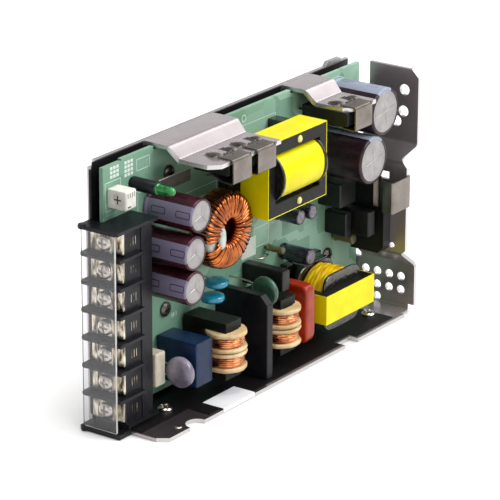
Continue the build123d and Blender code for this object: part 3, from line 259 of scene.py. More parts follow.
def closed(rings):
    """The rings with each end drawn together on its middle, so that the skin has no hole."""
    first = np.broadcast_to(rings[:1].mean(1, keepdims=True), rings[:1].shape)
    last = np.broadcast_to(rings[-1:].mean(1, keepdims=True), rings[-1:].shape)
    return np.concatenate((first, rings, last))


def build(name, shells, material, body="supply", finish="black_plastic", stands_for=(), crease=35):
    """One piece of several skins, each points in millimetres and faces, merged and turned outward."""
    counts = np.cumsum([0] + [len(points) for points, _ in shells[:-1]])
    points = in_row(np.concatenate([points for points, _ in shells]))
    faces = np.concatenate([faces + count for (_, faces), count in zip(shells, counts)])
    mesh = bpy.data.meshes.new(name)
    mesh.from_pydata(points, [], faces.tolist())
    work = bmesh.new()
    work.from_mesh(mesh)
    bmesh.ops.remove_doubles(work, verts=work.verts, dist=1e-6)
    bmesh.ops.recalc_face_normals(work, faces=work.faces)
    work.to_mesh(mesh)
    work.free()
    mesh.materials.append(material)
    mesh.shade_smooth()
    mesh.set_sharp_from_angle(angle=math.radians(crease))
    return settle(linked(name, mesh), body, finish, *stands_for)


def finished(name, shells, material, finish="black_plastic", crease=35):
    """One piece of several skins that stands for the CAD piece of that name."""
    return build(name + "_finished", shells, material, finish=finish, stands_for=[name], crease=crease)


def cushioned(low, high, edge, steps=4):
    """Block with round edges: its ring is the rectangle less the edge, pushed out by edge * sin t in every
    direction, while its level moves by edge * cos t; t runs from 0 to 90 degrees at each end."""
    low, high = np.minimum(low, high).astype(float), np.maximum(low, high).astype(float)
    turn = np.linspace(0, math.pi / 2, steps + 1)
    out = np.concatenate((np.sin(turn), np.sin(turn[::-1])))
    level = np.concatenate((low[2] + edge - edge * np.cos(turn), high[2] - edge + edge * np.cos(turn[::-1])))
    way = np.concatenate([turn + k * math.pi / 2 for k in range(4)])
    corner = np.repeat(((1, 1), (-1, 1), (-1, -1), (1, -1)), steps + 1, axis=0)
    middle = (low + high)[:2] / 2
    half = (high - low)[:2] / 2 - edge
    round_way = np.stack((np.cos(way), np.sin(way)), -1)
    flat = middle + corner * half + edge * out[:, None, None] * round_way
    rise = np.broadcast_to(level[:, None, None], (*flat.shape[:2], 1))
    return shell(closed(np.concatenate((flat, rise), -1)))


film = coating("black_film", (20, 17, 19), Roughness=0.4, Specular_IOR_Level=0.25)
polish(film, 60, 0.3, 0.5)
relief(film, 34, 0.25, detail=1.0)
sheet = softened("insulation_sheet", film, 0.0, finish="black_film").data
corners = rows(sheet.vertices, "co")
on_base = corners[:, 2] < FILM_BASE_TOP
corners[on_base, 0] = np.minimum(corners[on_base, 0], (FILM_END - CHASSIS_CORNER[0]) / 1000)
sheet.vertices.foreach_set("co", corners.ravel())
# A black strip over the back plate's left edge is painted shade: that edge lies in shadow.
build("shaded_edge_strip", [cushioned((-0.12, 30.35, 4.0), (0.52, 31.4, 92.2), 0.05, 2)], film, finish="black_film")

# Circuit board: 1.6 mm glass fibre under a light green mask, with the copper areas showing through as a
# darker green. White outlines, rings and blocks are screen printed on the side of the components.

BOARD_FACE = 25.8
PRINT = 0.03
PRINT_LINE = 0.22


def board_places(x, z, points):
    """Points (along x, along z, off the board) about a place on it: (x + a, face - h, z + b)."""
    points = np.asarray(points, float)
    return np.stack((x + points[..., 0], BOARD_FACE - points[..., 2], z + points[..., 1]), -1)


def flat_ring(x, z, inner, outer):
    """Printed ring on the board: (r cos t, r sin t) for radii inner and outer, both on the board and on the
    face of the print."""
    turn = bearings(32)
    radius = np.array((inner, outer, outer, inner))[:, None]
    a = radius * np.cos(turn)
    b = radius * np.sin(turn)
    h = np.array((0, 0, PRINT, PRINT))[:, None] + 0 * a
    return shell(board_places(x, z, np.stack((a, b, h), -1)), loop=True)


def printed_block(x0, z0, x1, z1):
    """Printed area between two points of the board."""
    return cushioned((x0, BOARD_FACE - PRINT, z0), (x1, BOARD_FACE + 0.01, z1), 0.01, 1)


def printed_line(x0, z0, x1, z1):
    """Straight printed line between two points of the board."""
    half = PRINT_LINE / 2
    return printed_block(min(x0, x1) - half, min(z0, z1) - half, max(x0, x1) + half, max(z0, z1) + half)


def printed_frame(x0, z0, x1, z1):
    """Four printed lines round a rectangle."""
    return [printed_line(x0, z0, x1, z0), printed_line(x0, z1, x1, z1),
            printed_line(x0, z0, x0, z1), printed_line(x1, z0, x1, z1)]


mask = coating("green_solder_mask", (138, 180, 160), Roughness=0.3, Specular_IOR_Level=0.25)
cells = {"Vector": spot(mask), "Scale": 75.0, "Randomness": 0.8}
pours = node(mask, "ShaderNodeTexVoronoi", cells, distance="CHEBYCHEV").outputs["Color"]
drive(mask, "Base Color", ramp(mask, pours, (150, 188, 167), (122, 162, 140), (0.42, 0.5)))
polish(mask, 200, 0.2, 0.42)
relief(mask, 900, 0.01)
softened("circuit_board", mask, 0.08, finish="green_board")

ink = coating("white_print", (216, 228, 218), Roughness=0.6)
relief(ink, 3000, 0.004)
OUTLINES = ((1.6, 77.6, 10.0, 87.6), (13.6, 80.2, 19.6, 84.0), (19.4, 40.6, 34.6, 79.6),
            (39.0, 45.6, 64.6, 72.0), (66.0, 58.6, 100.4, 88.0), (98.6, 46.4, 112.6, 53.4),
            (19.0, 87.6, 26.0, 91.6), (110.8, 55.0, 121.0, 63.6), (87.4, 40.0, 96.4, 47.2),
            (141.6, 52.0, 151.6, 62.0))
PAD_ROWS = (((4.4, 6.1, 7.8), (88.6, 90.1, 91.6)), ((12.2, 13.9, 15.6), (87.1, 88.6, 90.1, 91.6)))
BARS = ((90.0, 52.8), (91.0, 52.8), (92.4, 52.8), (38.0, 28.6), (39.0, 28.6), (40.4, 28.6))
HOLE_RINGS = ((70.4, 51.2), (75.6, 54.6), (72.6, 91.2), (81.0, 90.6))
INPUT_CANS = ((139.1, 82.6), (131.8, 65.7))
print_lines = [line for outline in OUTLINES for line in printed_frame(*outline)]
print_lines += [printed_block(x, z, x + 1.3, z + 1.1) for across, up in PAD_ROWS for x in across for z in up]
print_lines += [printed_block(x, z, x + 0.5, z + 1.6) for x, z in BARS]
print_lines += [printed_block(79.8, 37.4, 88.6, 44.6)]
print_lines += [printed_line(64.8, 40.0, 64.8, 57.0), printed_line(72.0, 44.0, 84.0, 44.0)]
print_lines += [flat_ring(x, z, 1.0, 1.4) for x, z in HOLE_RINGS]
print_lines += [flat_ring(x, z, 9.2, 9.45) for x, z in INPUT_CANS]
build("printed_outlines", print_lines, ink, finish="green_board")

# Screws and spacers: dark cross-recessed pan heads, whose darkness is partly painted shade, hold the board to
# steel pillars that are pressed into the back plate, two bright ones go through the film into the base, and a
# dimple is pressed up near the front left corner of the base.

SPREAD = bearings(64)
BOARD_SCREWS_AT = ((36.5, 82.5), (113.0, 68.0), (34.0, 33.0), (134.0, 24.0))
BASE_SCREWS_AT = ((20.9, 15.9), (139.1, 9.9))
FILM_TOP = 1.9


def pan_head(radius, height, recess):
    """Domed head about its axis as (a, b, height): height * (1 - (r / R) ** 4 * 0.55), less a cross-shaped
    recess that is deepest in the middle, where |a| or |b| is under its half width."""
    r = radius * np.concatenate((np.linspace(0.02, 0.72, 26), np.linspace(0.76, 1, 8)))
    a = r[:, None] * np.cos(SPREAD)
    b = r[:, None] * np.sin(SPREAD)
    top = height * (1 - 0.55 * (r[:, None] / radius) ** 4) + 0 * a
    across = np.minimum(np.abs(a), np.abs(b))
    along = np.maximum(np.abs(a), np.abs(b))
    half = 0.13 * radius * (1.25 - along / radius * 0.5)
    wall = np.clip((half - across) / (0.05 * radius), 0, 1)
    reach = np.clip((0.62 * radius - along) / (0.12 * radius), 0, 1)
    return np.stack((a, b, top - recess * wall * reach), -1)


def screw(radius, height, shank, length):
    """Head and shank about one axis: rings from the middle of the head, down its rim and along the shank."""
    head = pan_head(radius, height, height * 0.6)
    r = np.array((radius, radius * 0.97, shank, shank, shank * 0.8))
    h = np.array((height * 0.2, 0.0, 0.0, -length + 0.3, -length))
    rest = np.stack((r[:, None] * np.cos(SPREAD), r[:, None] * np.sin(SPREAD), h[:, None] + 0 * SPREAD), -1)
    return closed(np.concatenate((head, rest)))


def turned(profile, foot, axis="board", sides=48):
    """Skin turned about an axis at foot: (r cos t, r sin t, h) for each (r, h) of the profile, closed."""
    r, h = np.asarray(profile, float).T
    t = bearings(sides)
    a = r[:, None] * np.cos(t)
    b = r[:, None] * np.sin(t)
    h = h[:, None] + 0 * t
    x, y, z = foot
    return shell(closed(np.stack((x + a, y + b, z + h) if axis == "up" else (x + a, y - h, z + b), -1)))


def dome(radius, low, high, steps=8):
    """Rounded end of a turned shape: radius cos t at low + (high - low) sin t."""
    t = np.linspace(0, math.pi / 2, steps + 1)[:-1]
    return list(zip(radius * np.cos(t), low + (high - low) * np.sin(t)))


nickel = coating("bright_plated_screw", (205, 200, 194), Metallic=1.0, Roughness=0.2)
tint(nickel, 500, (196, 188, 176), (236, 231, 222))
polish(nickel, 1500, 0.12, 0.3)
relief(nickel, 4000, 0.006, detail=1.0)
# The board screws are darkened: partly a dark plating, partly painted shade, as one lies in shadow under the
# left bracket.
dark_shaded = coating("dark_plated_screw_painted_shade", (96, 92, 88), Metallic=0.9, Roughness=0.36)
tint(dark_shaded, 500, (78, 74, 70), (112, 108, 102))
relief(dark_shaded, 4000, 0.006, detail=1.0)
board_screw = screw(radius=2.7, height=1.6, shank=1.45, length=4.4)
board_screws = [shell(board_places(x, z, board_screw)) for x, z in BOARD_SCREWS_AT]
finished("board_screws", board_screws, dark_shaded, "bright_screw")
base_screw = screw(radius=2.7, height=1.6, shank=1.55, length=1.7)
base_screws = [shell(base_screw + (x, y, FILM_TOP)) for x, y in BASE_SCREWS_AT]
finished("base_screws", base_screws, nickel, "bright_screw")
softened("board_spacers", zinc, 0.1, finish="zinc_steel")
dimple = turned([(1.5, 0.0)] + dome(1.4, 0.05, 0.5), (12.0, 3.6, 1.5), "up")
build("base_dimple", [dimple], nickel, finish="bright_screw")

# Terminal block: moulded black body with a partition between each pair of ways. Each way has a plated plate,
# a square washer with turned-up edges and a cross-recessed screw, and three bright ticks on the rib beside
# it are painted glints.

WAYS = 8.35 + 10.1 * np.arange(7)
black = coating("black_moulding", (19, 19, 24), Roughness=0.38, Specular_IOR_Level=0.25)
tint(black, 300, (15, 15, 19), (27, 27, 34))
polish(black, 1200, 0.28, 0.46)
relief(black, 4200, 0.01, detail=1.0)
softened("terminal_block", black, 0.16)
# The plated brass colour runs from dark brown to near white: painted shade and highlights that stand in for
# its sparkle.
brass_with_painted_sparkle = coating("nickel_brass_painted_sparkle", (150, 138, 122), Metallic=1.0, Roughness=0.24)
tint(brass_with_painted_sparkle, 500, (70, 60, 48), (226, 216, 196), (0.38, 0.6), stretch=(1, 1, 0.4))
polish(brass_with_painted_sparkle, 700, 0.1, 0.3, stretch=(1, 1, 0.2))
relief(brass_with_painted_sparkle, 3000, 0.006, stretch=(1, 1, 0.1), detail=1.0)
softened("terminal_plates", brass_with_painted_sparkle, 0.12, finish="nickel_brass")
softened("terminal_washers", brass_with_painted_sparkle, 0.15, finish="nickel_brass")
# Three bright ticks on each rib are painted glints of light.
painted_glint_ticks = [cushioned((x, 16.12, z - 1.7), (x + 0.14, 16.24, z + 1.3), 0.03, 1) for z in WAYS
         for x in (2.8, 4.1, 5.4)]
build("terminal_rib_glints", painted_glint_ticks, brass_with_painted_sparkle, finish="nickel_brass")
across, up, out = np.moveaxis(screw(radius=2.9, height=1.7, shank=1.5, length=7.0), -1, 0)
terminal_screws = [shell(np.stack((-2.4 - out, 22.6 + across, z + up), -1)) for z in WAYS]
finished("terminal_screws", terminal_screws, nickel, "bright_screw")

# Terminal cover: clear moulded strip on two small pivots at the rear. It swings open for wiring, and pale
# strips along its front and lower rims are painted highlights, white lines of light.

clear = coating("clear_cover_plastic", (232, 232, 235), Roughness=0.06, IOR=1.49, Transmission_Weight=1.0)
polish(clear, 240, 0.03, 0.1)
softened("terminal_cover", clear, 0.2, "cover", "clear_plastic", 3)
# Pale strips on the front and lower rims are painted highlights along the cover's edges.
rim_highlight = coating("painted_rim_highlight", (238, 239, 236), Roughness=0.3, Transmission_Weight=0.25)
polish(rim_highlight, 600, 0.25, 0.4)
front_rim = cushioned((-6.72, 15.6, 2.3), (-6.0, 15.76, 73.1), 0.06)
lower_rim = cushioned((-6.72, 15.7, 2.1), (-6.2, 29.4, 2.24), 0.05)
build("cover_rim_highlights", [front_rim, lower_rim], rim_highlight, "cover", "clear_plastic")

# Trimmer: white moulded housing on the board with a cross-slotted rotor that sets the output voltage.

ivory = coating("off_white_moulding", (228, 226, 216), Roughness=0.4)
tint(ivory, 400, (216, 213, 202), (236, 234, 226))
relief(ivory, 3600, 0.008, detail=1.0)
softened("trimmer_body", ivory, 0.3, finish="white_plastic", steps=3)
softened("trimmer_rotor", ivory, 0.1, "rotor", "white_plastic")
# The dark cross proud of the rotor's face is painted shade in its slots.
slot_shade = coating("rotor_slot_shade", (76, 71, 66), Roughness=0.7)
tint(slot_shade, 2000, (62, 58, 53), (92, 87, 81))
rotor_low, rotor_high = (np.array(corner) * 1000 + CHASSIS_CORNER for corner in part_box("trimmer_rotor"))
rotor_y, rotor_z = ((rotor_low + rotor_high) / 2)[1:]
slot_front, slot_floor = rotor_low[0] - 0.02, rotor_low[0] + 0.5
arms = [cushioned((slot_front, rotor_y - a, rotor_z - b), (slot_floor, rotor_y + a, rotor_z + b), 0.02, 1)
        for a, b in ((1.45, 0.26), (0.26, 1.45))]
build("rotor_slots", arms, slot_shade, "rotor", "white_plastic")
# Four upright lines and a short bar on the housing are drawn dark, in the same shade colour as the slot.
dark_lines = [cushioned((x, 17.75, 83.4), (x + 0.24, 17.9, 85.2), 0.02, 1) for x in (3.7, 4.9, 6.1, 7.3)]
dark_lines += [cushioned((3.6, 17.75, 80.0), (5.4, 17.9, 80.5), 0.02, 1)]
build("trimmer_dark_lines", dark_lines, slot_shade, finish="white_plastic")
pin_metal = coating("tinned_pin", (120, 116, 110), Metallic=0.9, Roughness=0.35)
polish(pin_metal, 1500, 0.25, 0.45)

# Pilot light: green lens on a black tube that holds it off the board, with the two posts of its lead frame
# standing inside the lens.

LED = (16.5, BOARD_FACE, 84.1)
lens = coating("green_lens", (0, 150, 66), Roughness=0.06, IOR=1.5, Transmission_Weight=0.25, Coat_Weight=0.5)
tint(lens, 700, (0, 84, 34), (4, 178, 72))
led_profile = [(1.95, 10.5), (1.95, 11.2), (1.6, 11.4), (1.6, 16.2)] + dome(1.6, 16.4, 18.1)
finished("led_lens", [turned(led_profile, LED)], lens, "green_lens")
posts = [cushioned(*board_places(LED[0], LED[2], ((-0.9, b - 0.2, 10.0), (0.3, b + 0.2, 14.4))), 0.08, 2)
         for b in (-0.7, 0.7)]
build("led_posts", posts, pin_metal, finish="green_lens")
tube_profile = [(2.1, 0.0), (2.4, 0.2), (2.4, 10.2), (2.2, 10.5), (1.2, 10.5), (1.2, 9.4)]
build("led_tube", [turned(tube_profile, LED)], black, stands_for=["led_spacer"])

# Output capacitors: aluminium cans in shrunk maroon sleeves, each with a pale stripe that carries two
# outlined bars, and a scored end that vents if it fails. A crimp runs round each can near the board.

OUTPUT_CANS = ((28.0, 73.2), (24.9, 60.4), (24.5, 47.9))


def arc(middle_r, middle_h, radius, start, stop, steps=6):
    """Points on an arc of a profile, from start to stop degrees."""
    t = np.radians(np.linspace(start, stop, steps + 1))
    return list(zip(middle_r + radius * np.cos(t), middle_h + radius * np.sin(t)))


def crimped(radius, height, edge, window=0.86):
    """Profile of a sleeved can: a crimp near the board, a straight side, and a lip rolled in over the end."""
    side = [(radius * 0.9, 0.0), (radius, 0.5), (radius, 1.2)] + arc(radius + 0.35, 2.0, 0.75, 225, 135, 5)
    shoulder = [(radius, 2.8)] + arc(radius - edge, height - edge, edge, 0, 90, 6)
    mouth = radius * window
    return side + shoulder + [(mouth, height), (mouth - 0.1, height - 0.2), (mouth - 0.15, height - 0.7)]


def vent_end(radius, height, arms, turn, depth=0.16):
    """Disc in the end of a can as rings: its face dips by depth within 0.14 mm of each arm of the score, out
    to 0.8 of the radius, and a shallow bead runs round the rim."""
    r = radius * np.concatenate((np.linspace(0.0, 0.84, 42), np.linspace(0.86, 1.0, 8)))
    t = bearings(144)
    a = r[:, None] * np.cos(t)
    b = r[:, None] * np.sin(t)
    rays = turn + np.arange(arms) * 2 * math.pi / arms
    along = a[..., None] * np.cos(rays) + b[..., None] * np.sin(rays)
    off = np.abs(b[..., None] * np.cos(rays) - a[..., None] * np.sin(rays))
    groove = np.clip(1.6 - off / 0.14, 0, 1) * (along > -0.1) * (along < 0.8 * radius)
    bead = np.clip(1 - np.abs(r[:, None] / radius - 0.9) / 0.05, 0, 1)
    return np.stack((a, b, height - depth * groove.max(-1) - 0.1 * bead), -1)


def can_end(name, x, z, radius, height, arms, turn, stands_for):
    """The visible end of a can as a thin closed disc under the lip of its sleeve."""
    top = vent_end(radius, height, arms, turn)
    rim_ring = np.concatenate((top[-1:], top[-1:] - (0, 0, 0.6)))
    skin = shell(closed(board_places(x, z, np.concatenate((top, rim_ring)))))
    build(name, [skin], aluminium, finish="can_aluminium", stands_for=[stands_for])


def mark_stripe(piece, x, z, radius, facing):
    """Two values at each point: millimetres round the can from mid stripe, and off the board."""
    mesh = piece.data
    points = rows(mesh.vertices, "co") * 1000 + CHASSIS_CORNER
    turn = np.arctan2(points[:, 2] - z, points[:, 0] - x) - math.radians(facing)
    around = radius * np.abs((turn + math.pi) % (2 * math.pi) - math.pi)
    for name, values in (("from_stripe", around), ("off_board", BOARD_FACE - points[:, 1])):
        mesh.attributes.new(name, "FLOAT", "POINT").data.foreach_set("value", values)


def sleeve(name, dark, lit, stripe, ink_line, half_stripe, middle, gap, bar):
    """Glossy shrunk sleeve: dark, with a stripe under half_stripe from the middle line and, on it, outlined
    bars: rings where the distance to a rounded box of half sizes bar is within 0.16 mm of 0.5 mm."""
    material = coating(name, dark, Roughness=0.26, Specular_IOR_Level=0.3, Coat_Weight=0.06,
                       Coat_Roughness=0.1)
    around = node(material, "ShaderNodeAttribute", attribute_name="from_stripe").outputs["Fac"]
    along = node(material, "ShaderNodeAttribute", attribute_name="off_board").outputs["Fac"]
    inside = maths(material, "LESS_THAN", around, half_stripe)
    step = along
    for shift in (middle, gap / 2):
        step = maths(material, "ABSOLUTE", maths(material, "SUBTRACT", step, shift))
    pair = node(material, "ShaderNodeCombineXYZ", {0: around, 1: step}).outputs[0]
    over = node(material, "ShaderNodeVectorMath", {0: pair, 1: (*bar, 0)}, operation="SUBTRACT").outputs[0]
    over = node(material, "ShaderNodeVectorMath", {0: over, 1: (0, 0, 0)}, operation="MAXIMUM").outputs[0]
    far = node(material, "ShaderNodeVectorMath", {0: over}, operation="LENGTH").outputs["Value"]
    ring = maths(material, "COMPARE", far, 0.5, 0.16)
    patches = ramp(material, grain(material, 240), dark, lit, (0.35, 0.65))
    marked = blended(material, ring, light(*stripe), light(*ink_line))
    drive(material, "Base Color", blended(material, inside, patches, marked))
    relief(material, 420, 0.04, detail=1.0)
    return material


aluminium = coating("can_aluminium", (156, 153, 153), Metallic=0.6, Roughness=0.38)
tint(aluminium, 300, (146, 142, 142), (166, 163, 162))
polish(aluminium, 1300, 0.28, 0.46)
maroon = sleeve("maroon_sleeve", (50, 18, 28), (66, 26, 38), (126, 118, 142), (58, 42, 74),
                half_stripe=3.5, middle=11.8, gap=10.5, bar=(0.6, 2.4))
for number, (x, z) in enumerate(OUTPUT_CANS, 1):
    skin = turned(crimped(radius=6.1, height=20.5, edge=0.7), (x, BOARD_FACE, z), sides=72)
    wrap = build(f"output_sleeve_{number}", [skin], maroon, finish="maroon_sleeve",
                 stands_for=[f"output_capacitor_sleeve_{number}"])
    mark_stripe(wrap, x, z, 6.1, 170)
    can_end(f"output_can_{number}", x, z, radius=5.3, height=20.32, arms=3, turn=1.35,
            stands_for=f"output_capacitor_can_{number}")

# Input capacitors: two larger cans in brown sleeves with a pale stripe, their ends scored with a cross. Each
# stands in its printed ring.

brown = sleeve("brown_sleeve", (38, 20, 30), (52, 32, 42), (150, 158, 178), (110, 114, 134),
               half_stripe=4.4, middle=11.0, gap=11.0, bar=(0.3, 1.6))
for number, ((x, z), facing) in enumerate(zip(INPUT_CANS, (94, 80)), 1):
    skin = turned(crimped(radius=9.0, height=22.0, edge=0.9, window=0.87), (x, BOARD_FACE, z), sides=72)
    wrap = build(f"input_sleeve_{number}", [skin], brown, finish="brown_sleeve",
                 stands_for=[f"input_capacitor_sleeve_{number}"])
    mark_stripe(wrap, x, z, 9.0, facing)
    can_end(f"input_can_{number}", x, z, radius=7.75, height=21.8, arms=4, turn=0.2,
            stands_for=f"input_capacitor_can_{number}")

# Small capacitors: three narrow cans in dark sleeves, with bare metal ends that sit under the lip of the
# sleeve. Their places give x and z, radius and height.

SMALL_CANS = ((101.4, 49.9, 2.8, 11.0), (109.2, 49.9, 2.8, 11.0), (105.3, 33.9, 3.1, 13.0))
navy = coating("dark_sleeve", (32, 26, 44), Roughness=0.22, Coat_Weight=0.3)
tint(navy, 300, (24, 20, 34), (40, 34, 56))
small_cans = [turned(crimped(r, h, 0.45, 0.8), (x, BOARD_FACE, z), sides=40) for x, z, r, h in SMALL_CANS]
finished("small_capacitors", small_cans, navy, "navy_sleeve")
small_ends = [turned([(r * 0.76, h - 0.6), (r * 0.76, h - 0.1)], (x, BOARD_FACE, z))
              for x, z, r, h in SMALL_CANS]
grey_end = coating("dull_can_end", (104, 100, 106), Metallic=0.6, Roughness=0.34)
tint(grey_end, 900, (84, 80, 88), (128, 124, 130))
build("small_capacitor_ends", small_ends, grey_end, finish="can_aluminium")

# Output choke: a pressed powder ring wound by hand with enamelled copper wire, held off the board on a white
# moulded cradle. The winding leaves a gap at the left, and both its ends drop to the board there.

TOROID = (50.6, BOARD_FACE - 12.2, 60.6)


def fuller(wave, power):
    """Sine or cosine made fuller, sign(w) |w| ** power, which turns a circle into a rounded oblong."""
    return np.sign(wave) * np.abs(wave) ** power


def wire(path, radius, up, sides=8):
    """Round wire: a circle carried along a path, spanned at each point by up x run and run x (up x run)."""
    path = np.asarray(path, float)
    run = np.gradient(path, axis=0)
    run /= np.linalg.norm(run, axis=1, keepdims=True)
    across = np.cross(up, run)
    across /= np.linalg.norm(across, axis=1, keepdims=True)
    over = np.cross(run, across)
    t = bearings(sides)[None, :, None]
    rings = path[:, None] + radius * (np.cos(t) * across[:, None] + np.sin(t) * over[:, None])
    return shell(closed(rings))


def wound_ring(turns, samples, inner, outer, thick, radius, wound, gap):
    """Wire path round a ring: once a turn it runs round an oblong, r = middle + half * sign(c) |c| ** p
    and h = half * sign(d) |d| ** p, while it moves on along the ring. Each second turn climbs over its
    neighbours towards the throat, by lift times a ramp that is 0 outside and 1 inside."""
    s = np.arange(turns * samples + 1) / samples
    c = np.cos(2 * math.pi * (s + 0.25))
    d = np.sin(2 * math.pi * (s + 0.25))
    power = 0.62
    half_r = (outer - inner) / 2 - radius
    half_h = thick / 2 - radius * 1.6
    ramp = np.clip(0.62 - c * 1.1, 0, 1) ** 1.5
    lift = (0.5 - 0.5 * np.cos(math.pi * (s - 0.25))) * ramp
    r = (outer + inner) / 2 + half_r * fuller(c, power) - 1.2 * radius * lift
    h = (half_h + 0.9 * radius * lift) * fuller(d, power)
    start = math.radians(gap + (360 - wound) / 2)
    turn = start + math.radians(wound) * s / turns + 0.018 * np.sin(2.6 * s) + 0.012 * np.sin(5.3 * s)
    turn += 0.06 * d
    x, y, z = TOROID
    path = np.stack((x + r * np.cos(turn), y - h, z + r * np.sin(turn)), -1)
    spin = np.stack((-np.sin(turn), 0 * turn, np.cos(turn)), -1)
    return path, spin


copper = coating("enamelled_copper", (166, 74, 26), Metallic=1.0, Roughness=0.16, Coat_Weight=0.4)
tint(copper, 240, (116, 50, 16), (194, 108, 42))
polish(copper, 1200, 0.12, 0.22)
path, spin = wound_ring(turns=48, samples=44, inner=4.6, outer=14.1, thick=11.4, radius=0.7, wound=346,
                        gap=190)
finished("toroid_winding", [wire(path, 0.7, spin)], copper, "copper_wire", crease=80)
powder = coating("coated_powder_core", (196, 202, 198), Roughness=0.5)
tint(powder, 400, (178, 186, 180), (206, 212, 208))
relief(powder, 2600, 0.03)
bend, lap = bearings(24)[:, None], bearings(72)
core_r = 9.4 + 3.2 * fuller(np.cos(bend), 0.5)
core_h = 3.9 * fuller(np.sin(bend), 0.5) + 0 * lap
core = np.stack((core_r * np.cos(lap), core_r * np.sin(lap), 12.2 + core_h), -1)
core = board_places(TOROID[0], TOROID[2], core)
finished("toroid_core", [shell(core, loop=True)], powder, "iron_powder")
pad_u, pad_v = np.linspace(-math.pi / 2, math.pi / 2, 17)[:, None], bearings(48)
pad_r = np.cos(pad_u) ** 0.5
pad_h = 17.1 + 0.9 * np.sin(pad_u) + 0 * pad_v
pad = np.stack((1.9 * pad_r * np.cos(pad_v), 4.2 * pad_r * np.sin(pad_v), pad_h), -1)
pad = board_places(TOROID[0] - 6.0, TOROID[2] - 1.0, pad)
build("toroid_pad", [shell(pad)], powder, finish="iron_powder")
softened("toroid_base", ivory, 0.3, finish="white_plastic")

# Main transformer: two ferrite halves round a bobbin, held together by a band of yellow tape, with the
# winding bulging out of the window under more tape. The bobbin is coated in glossy black resin, and two dots
# of adhesive lock the halves.

TRANSFORMER = (83.1, BOARD_FACE - 16.0, 75.0)


def oblong_tube(x0, x1, deep, tall, thick, middle, bulge, ripple, phase):
    """Wound coil on the x axis: at each x its skin is (deep |cos t| ** 0.92, tall |sin t| ** 0.85), signed,
    swollen by bulge * (1 - u * u) and by ripples of tape edges along it; a smaller copy closes the inside."""
    u = np.linspace(-1, 1, 40)
    t = bearings(96)
    edge = np.sin(math.pi * 0.5 * np.clip((1 - np.abs(u)) / 0.07, 0, 1)) * 0.5 - 0.5
    swell = bulge * (1 - u * u) + 0.6 * edge + ripple * np.sin(9 * u + phase)
    wave = ripple * np.sin(5 * u[:, None] + 3 * np.sin(t) + phase) * np.cos(2 * t + u[:, None])
    flat = fuller(np.cos(t), 0.92)
    rise = fuller(np.sin(t), 0.85)
    y = (deep + swell[:, None] + wave) * flat
    z = (tall + np.minimum(swell[:, None] + wave, 0)) * rise
    x = np.broadcast_to(((x0 + x1) / 2 + (x1 - x0) / 2 * u)[:, None], y.shape)
    skin = np.stack((x, middle[1] + y, middle[2] + z), -1)
    inner = skin[::-1].copy()
    inner[..., 1] = middle[1] + (deep - thick) * flat
    inner[..., 2] = middle[2] + (tall - thick) * rise
    return shell(np.concatenate((skin, inner)), loop=True)


ferrite = coating("ferrite", (22, 22, 20), Roughness=0.3, Specular_IOR_Level=0.12)
tint(ferrite, 500, (19, 19, 17), (31, 32, 28))
polish(ferrite, 900, 0.24, 0.38)
relief(ferrite, 2200, 0.01)
tape = coating("yellow_tape", (238, 226, 4), Roughness=0.34, Specular_IOR_Level=0.2)
tint(tape, 110, (230, 214, 0), (244, 234, 6))
relief(tape, 420, 0.06, stretch=(1, 0.25, 1))
softened("transformer_core", ferrite, 0.35, finish="ferrite")
softened("transformer_tape", tape, 0.1, finish="yellow_tape")
resin = coating("glossy_black_resin", (16, 15, 15), Roughness=0.12, Coat_Weight=0.4)
tint(resin, 500, (12, 11, 11), (34, 32, 28), (0.4, 0.7))
relief(resin, 600, 0.35, detail=2.0)
softened("transformer_bobbin", resin, 0.35, steps=3)
winding = oblong_tube(70.6, 95.6, deep=9.2, tall=8.75, thick=3.4, middle=TRANSFORMER, bulge=0.15, ripple=0.05,
                      phase=0.6)
finished("transformer_winding", [winding], tape, "yellow_tape", crease=60)
glue = coating("pale_yellow_adhesive", (222, 216, 120), Roughness=0.3, Coat_Weight=0.3)
tint(glue, 900, (206, 198, 96), (234, 230, 148))
dot = [(1.35, 21.9), (1.3, 22.2)] + dome(1.2, 22.25, 22.7)
dots = [turned(dot, (TRANSFORMER[0] + 1.0, BOARD_FACE, TRANSFORMER[2] + rise), sides=28)
        for rise in (11.4, -11.4)]
build("core_adhesive_dots", dots, glue, finish="yellow_tape")

# Standby transformer: the same make, smaller and standing on edge. Its winding is wrapped in crinkled tape
# between two oblong flanges of the bobbin.

STANDBY = (114.8, BOARD_FACE, 17.2)


def wrapped_coil(radius, flat, low, high, thick, foot):
    """Coil standing off the board: at each height its skin is (r cos t, r sin t), cut to flat along x, with
    tape edges that wander as 0.14 sin(1.9 h + 2 sin 3t) + 0.1 sin(4.1 h + 5 sin 2t); a smaller copy closes
    the inside."""
    h = np.linspace(low, high, 36)[:, None]
    t = bearings(120)
    u = np.linspace(-1, 1, 36)[:, None]
    crinkle = 0.14 * np.sin(1.9 * h + 2 * np.sin(3 * t)) + 0.1 * np.sin(4.1 * h + 5 * np.sin(2 * t))
    swell = 0.3 * (1 - u * u) - 0.5 * (np.abs(u) > 0.98) + crinkle
    outer = radius - 0.45 + swell
    a = np.clip(outer * np.cos(t), -flat, flat)
    b = outer * np.sin(t)
    inner_a = np.clip((radius - thick) * np.cos(t), -flat + thick, flat - thick) + 0 * u
    inner_b = (radius - thick) * np.sin(t) + 0 * u
    skin = board_places(foot[0], foot[2], np.stack((a, b, h + 0 * a), -1))
    inside = board_places(foot[0], foot[2], np.stack((inner_a, inner_b, h + 0 * a), -1))
    return shell(np.concatenate((skin, inside[::-1])), loop=True)


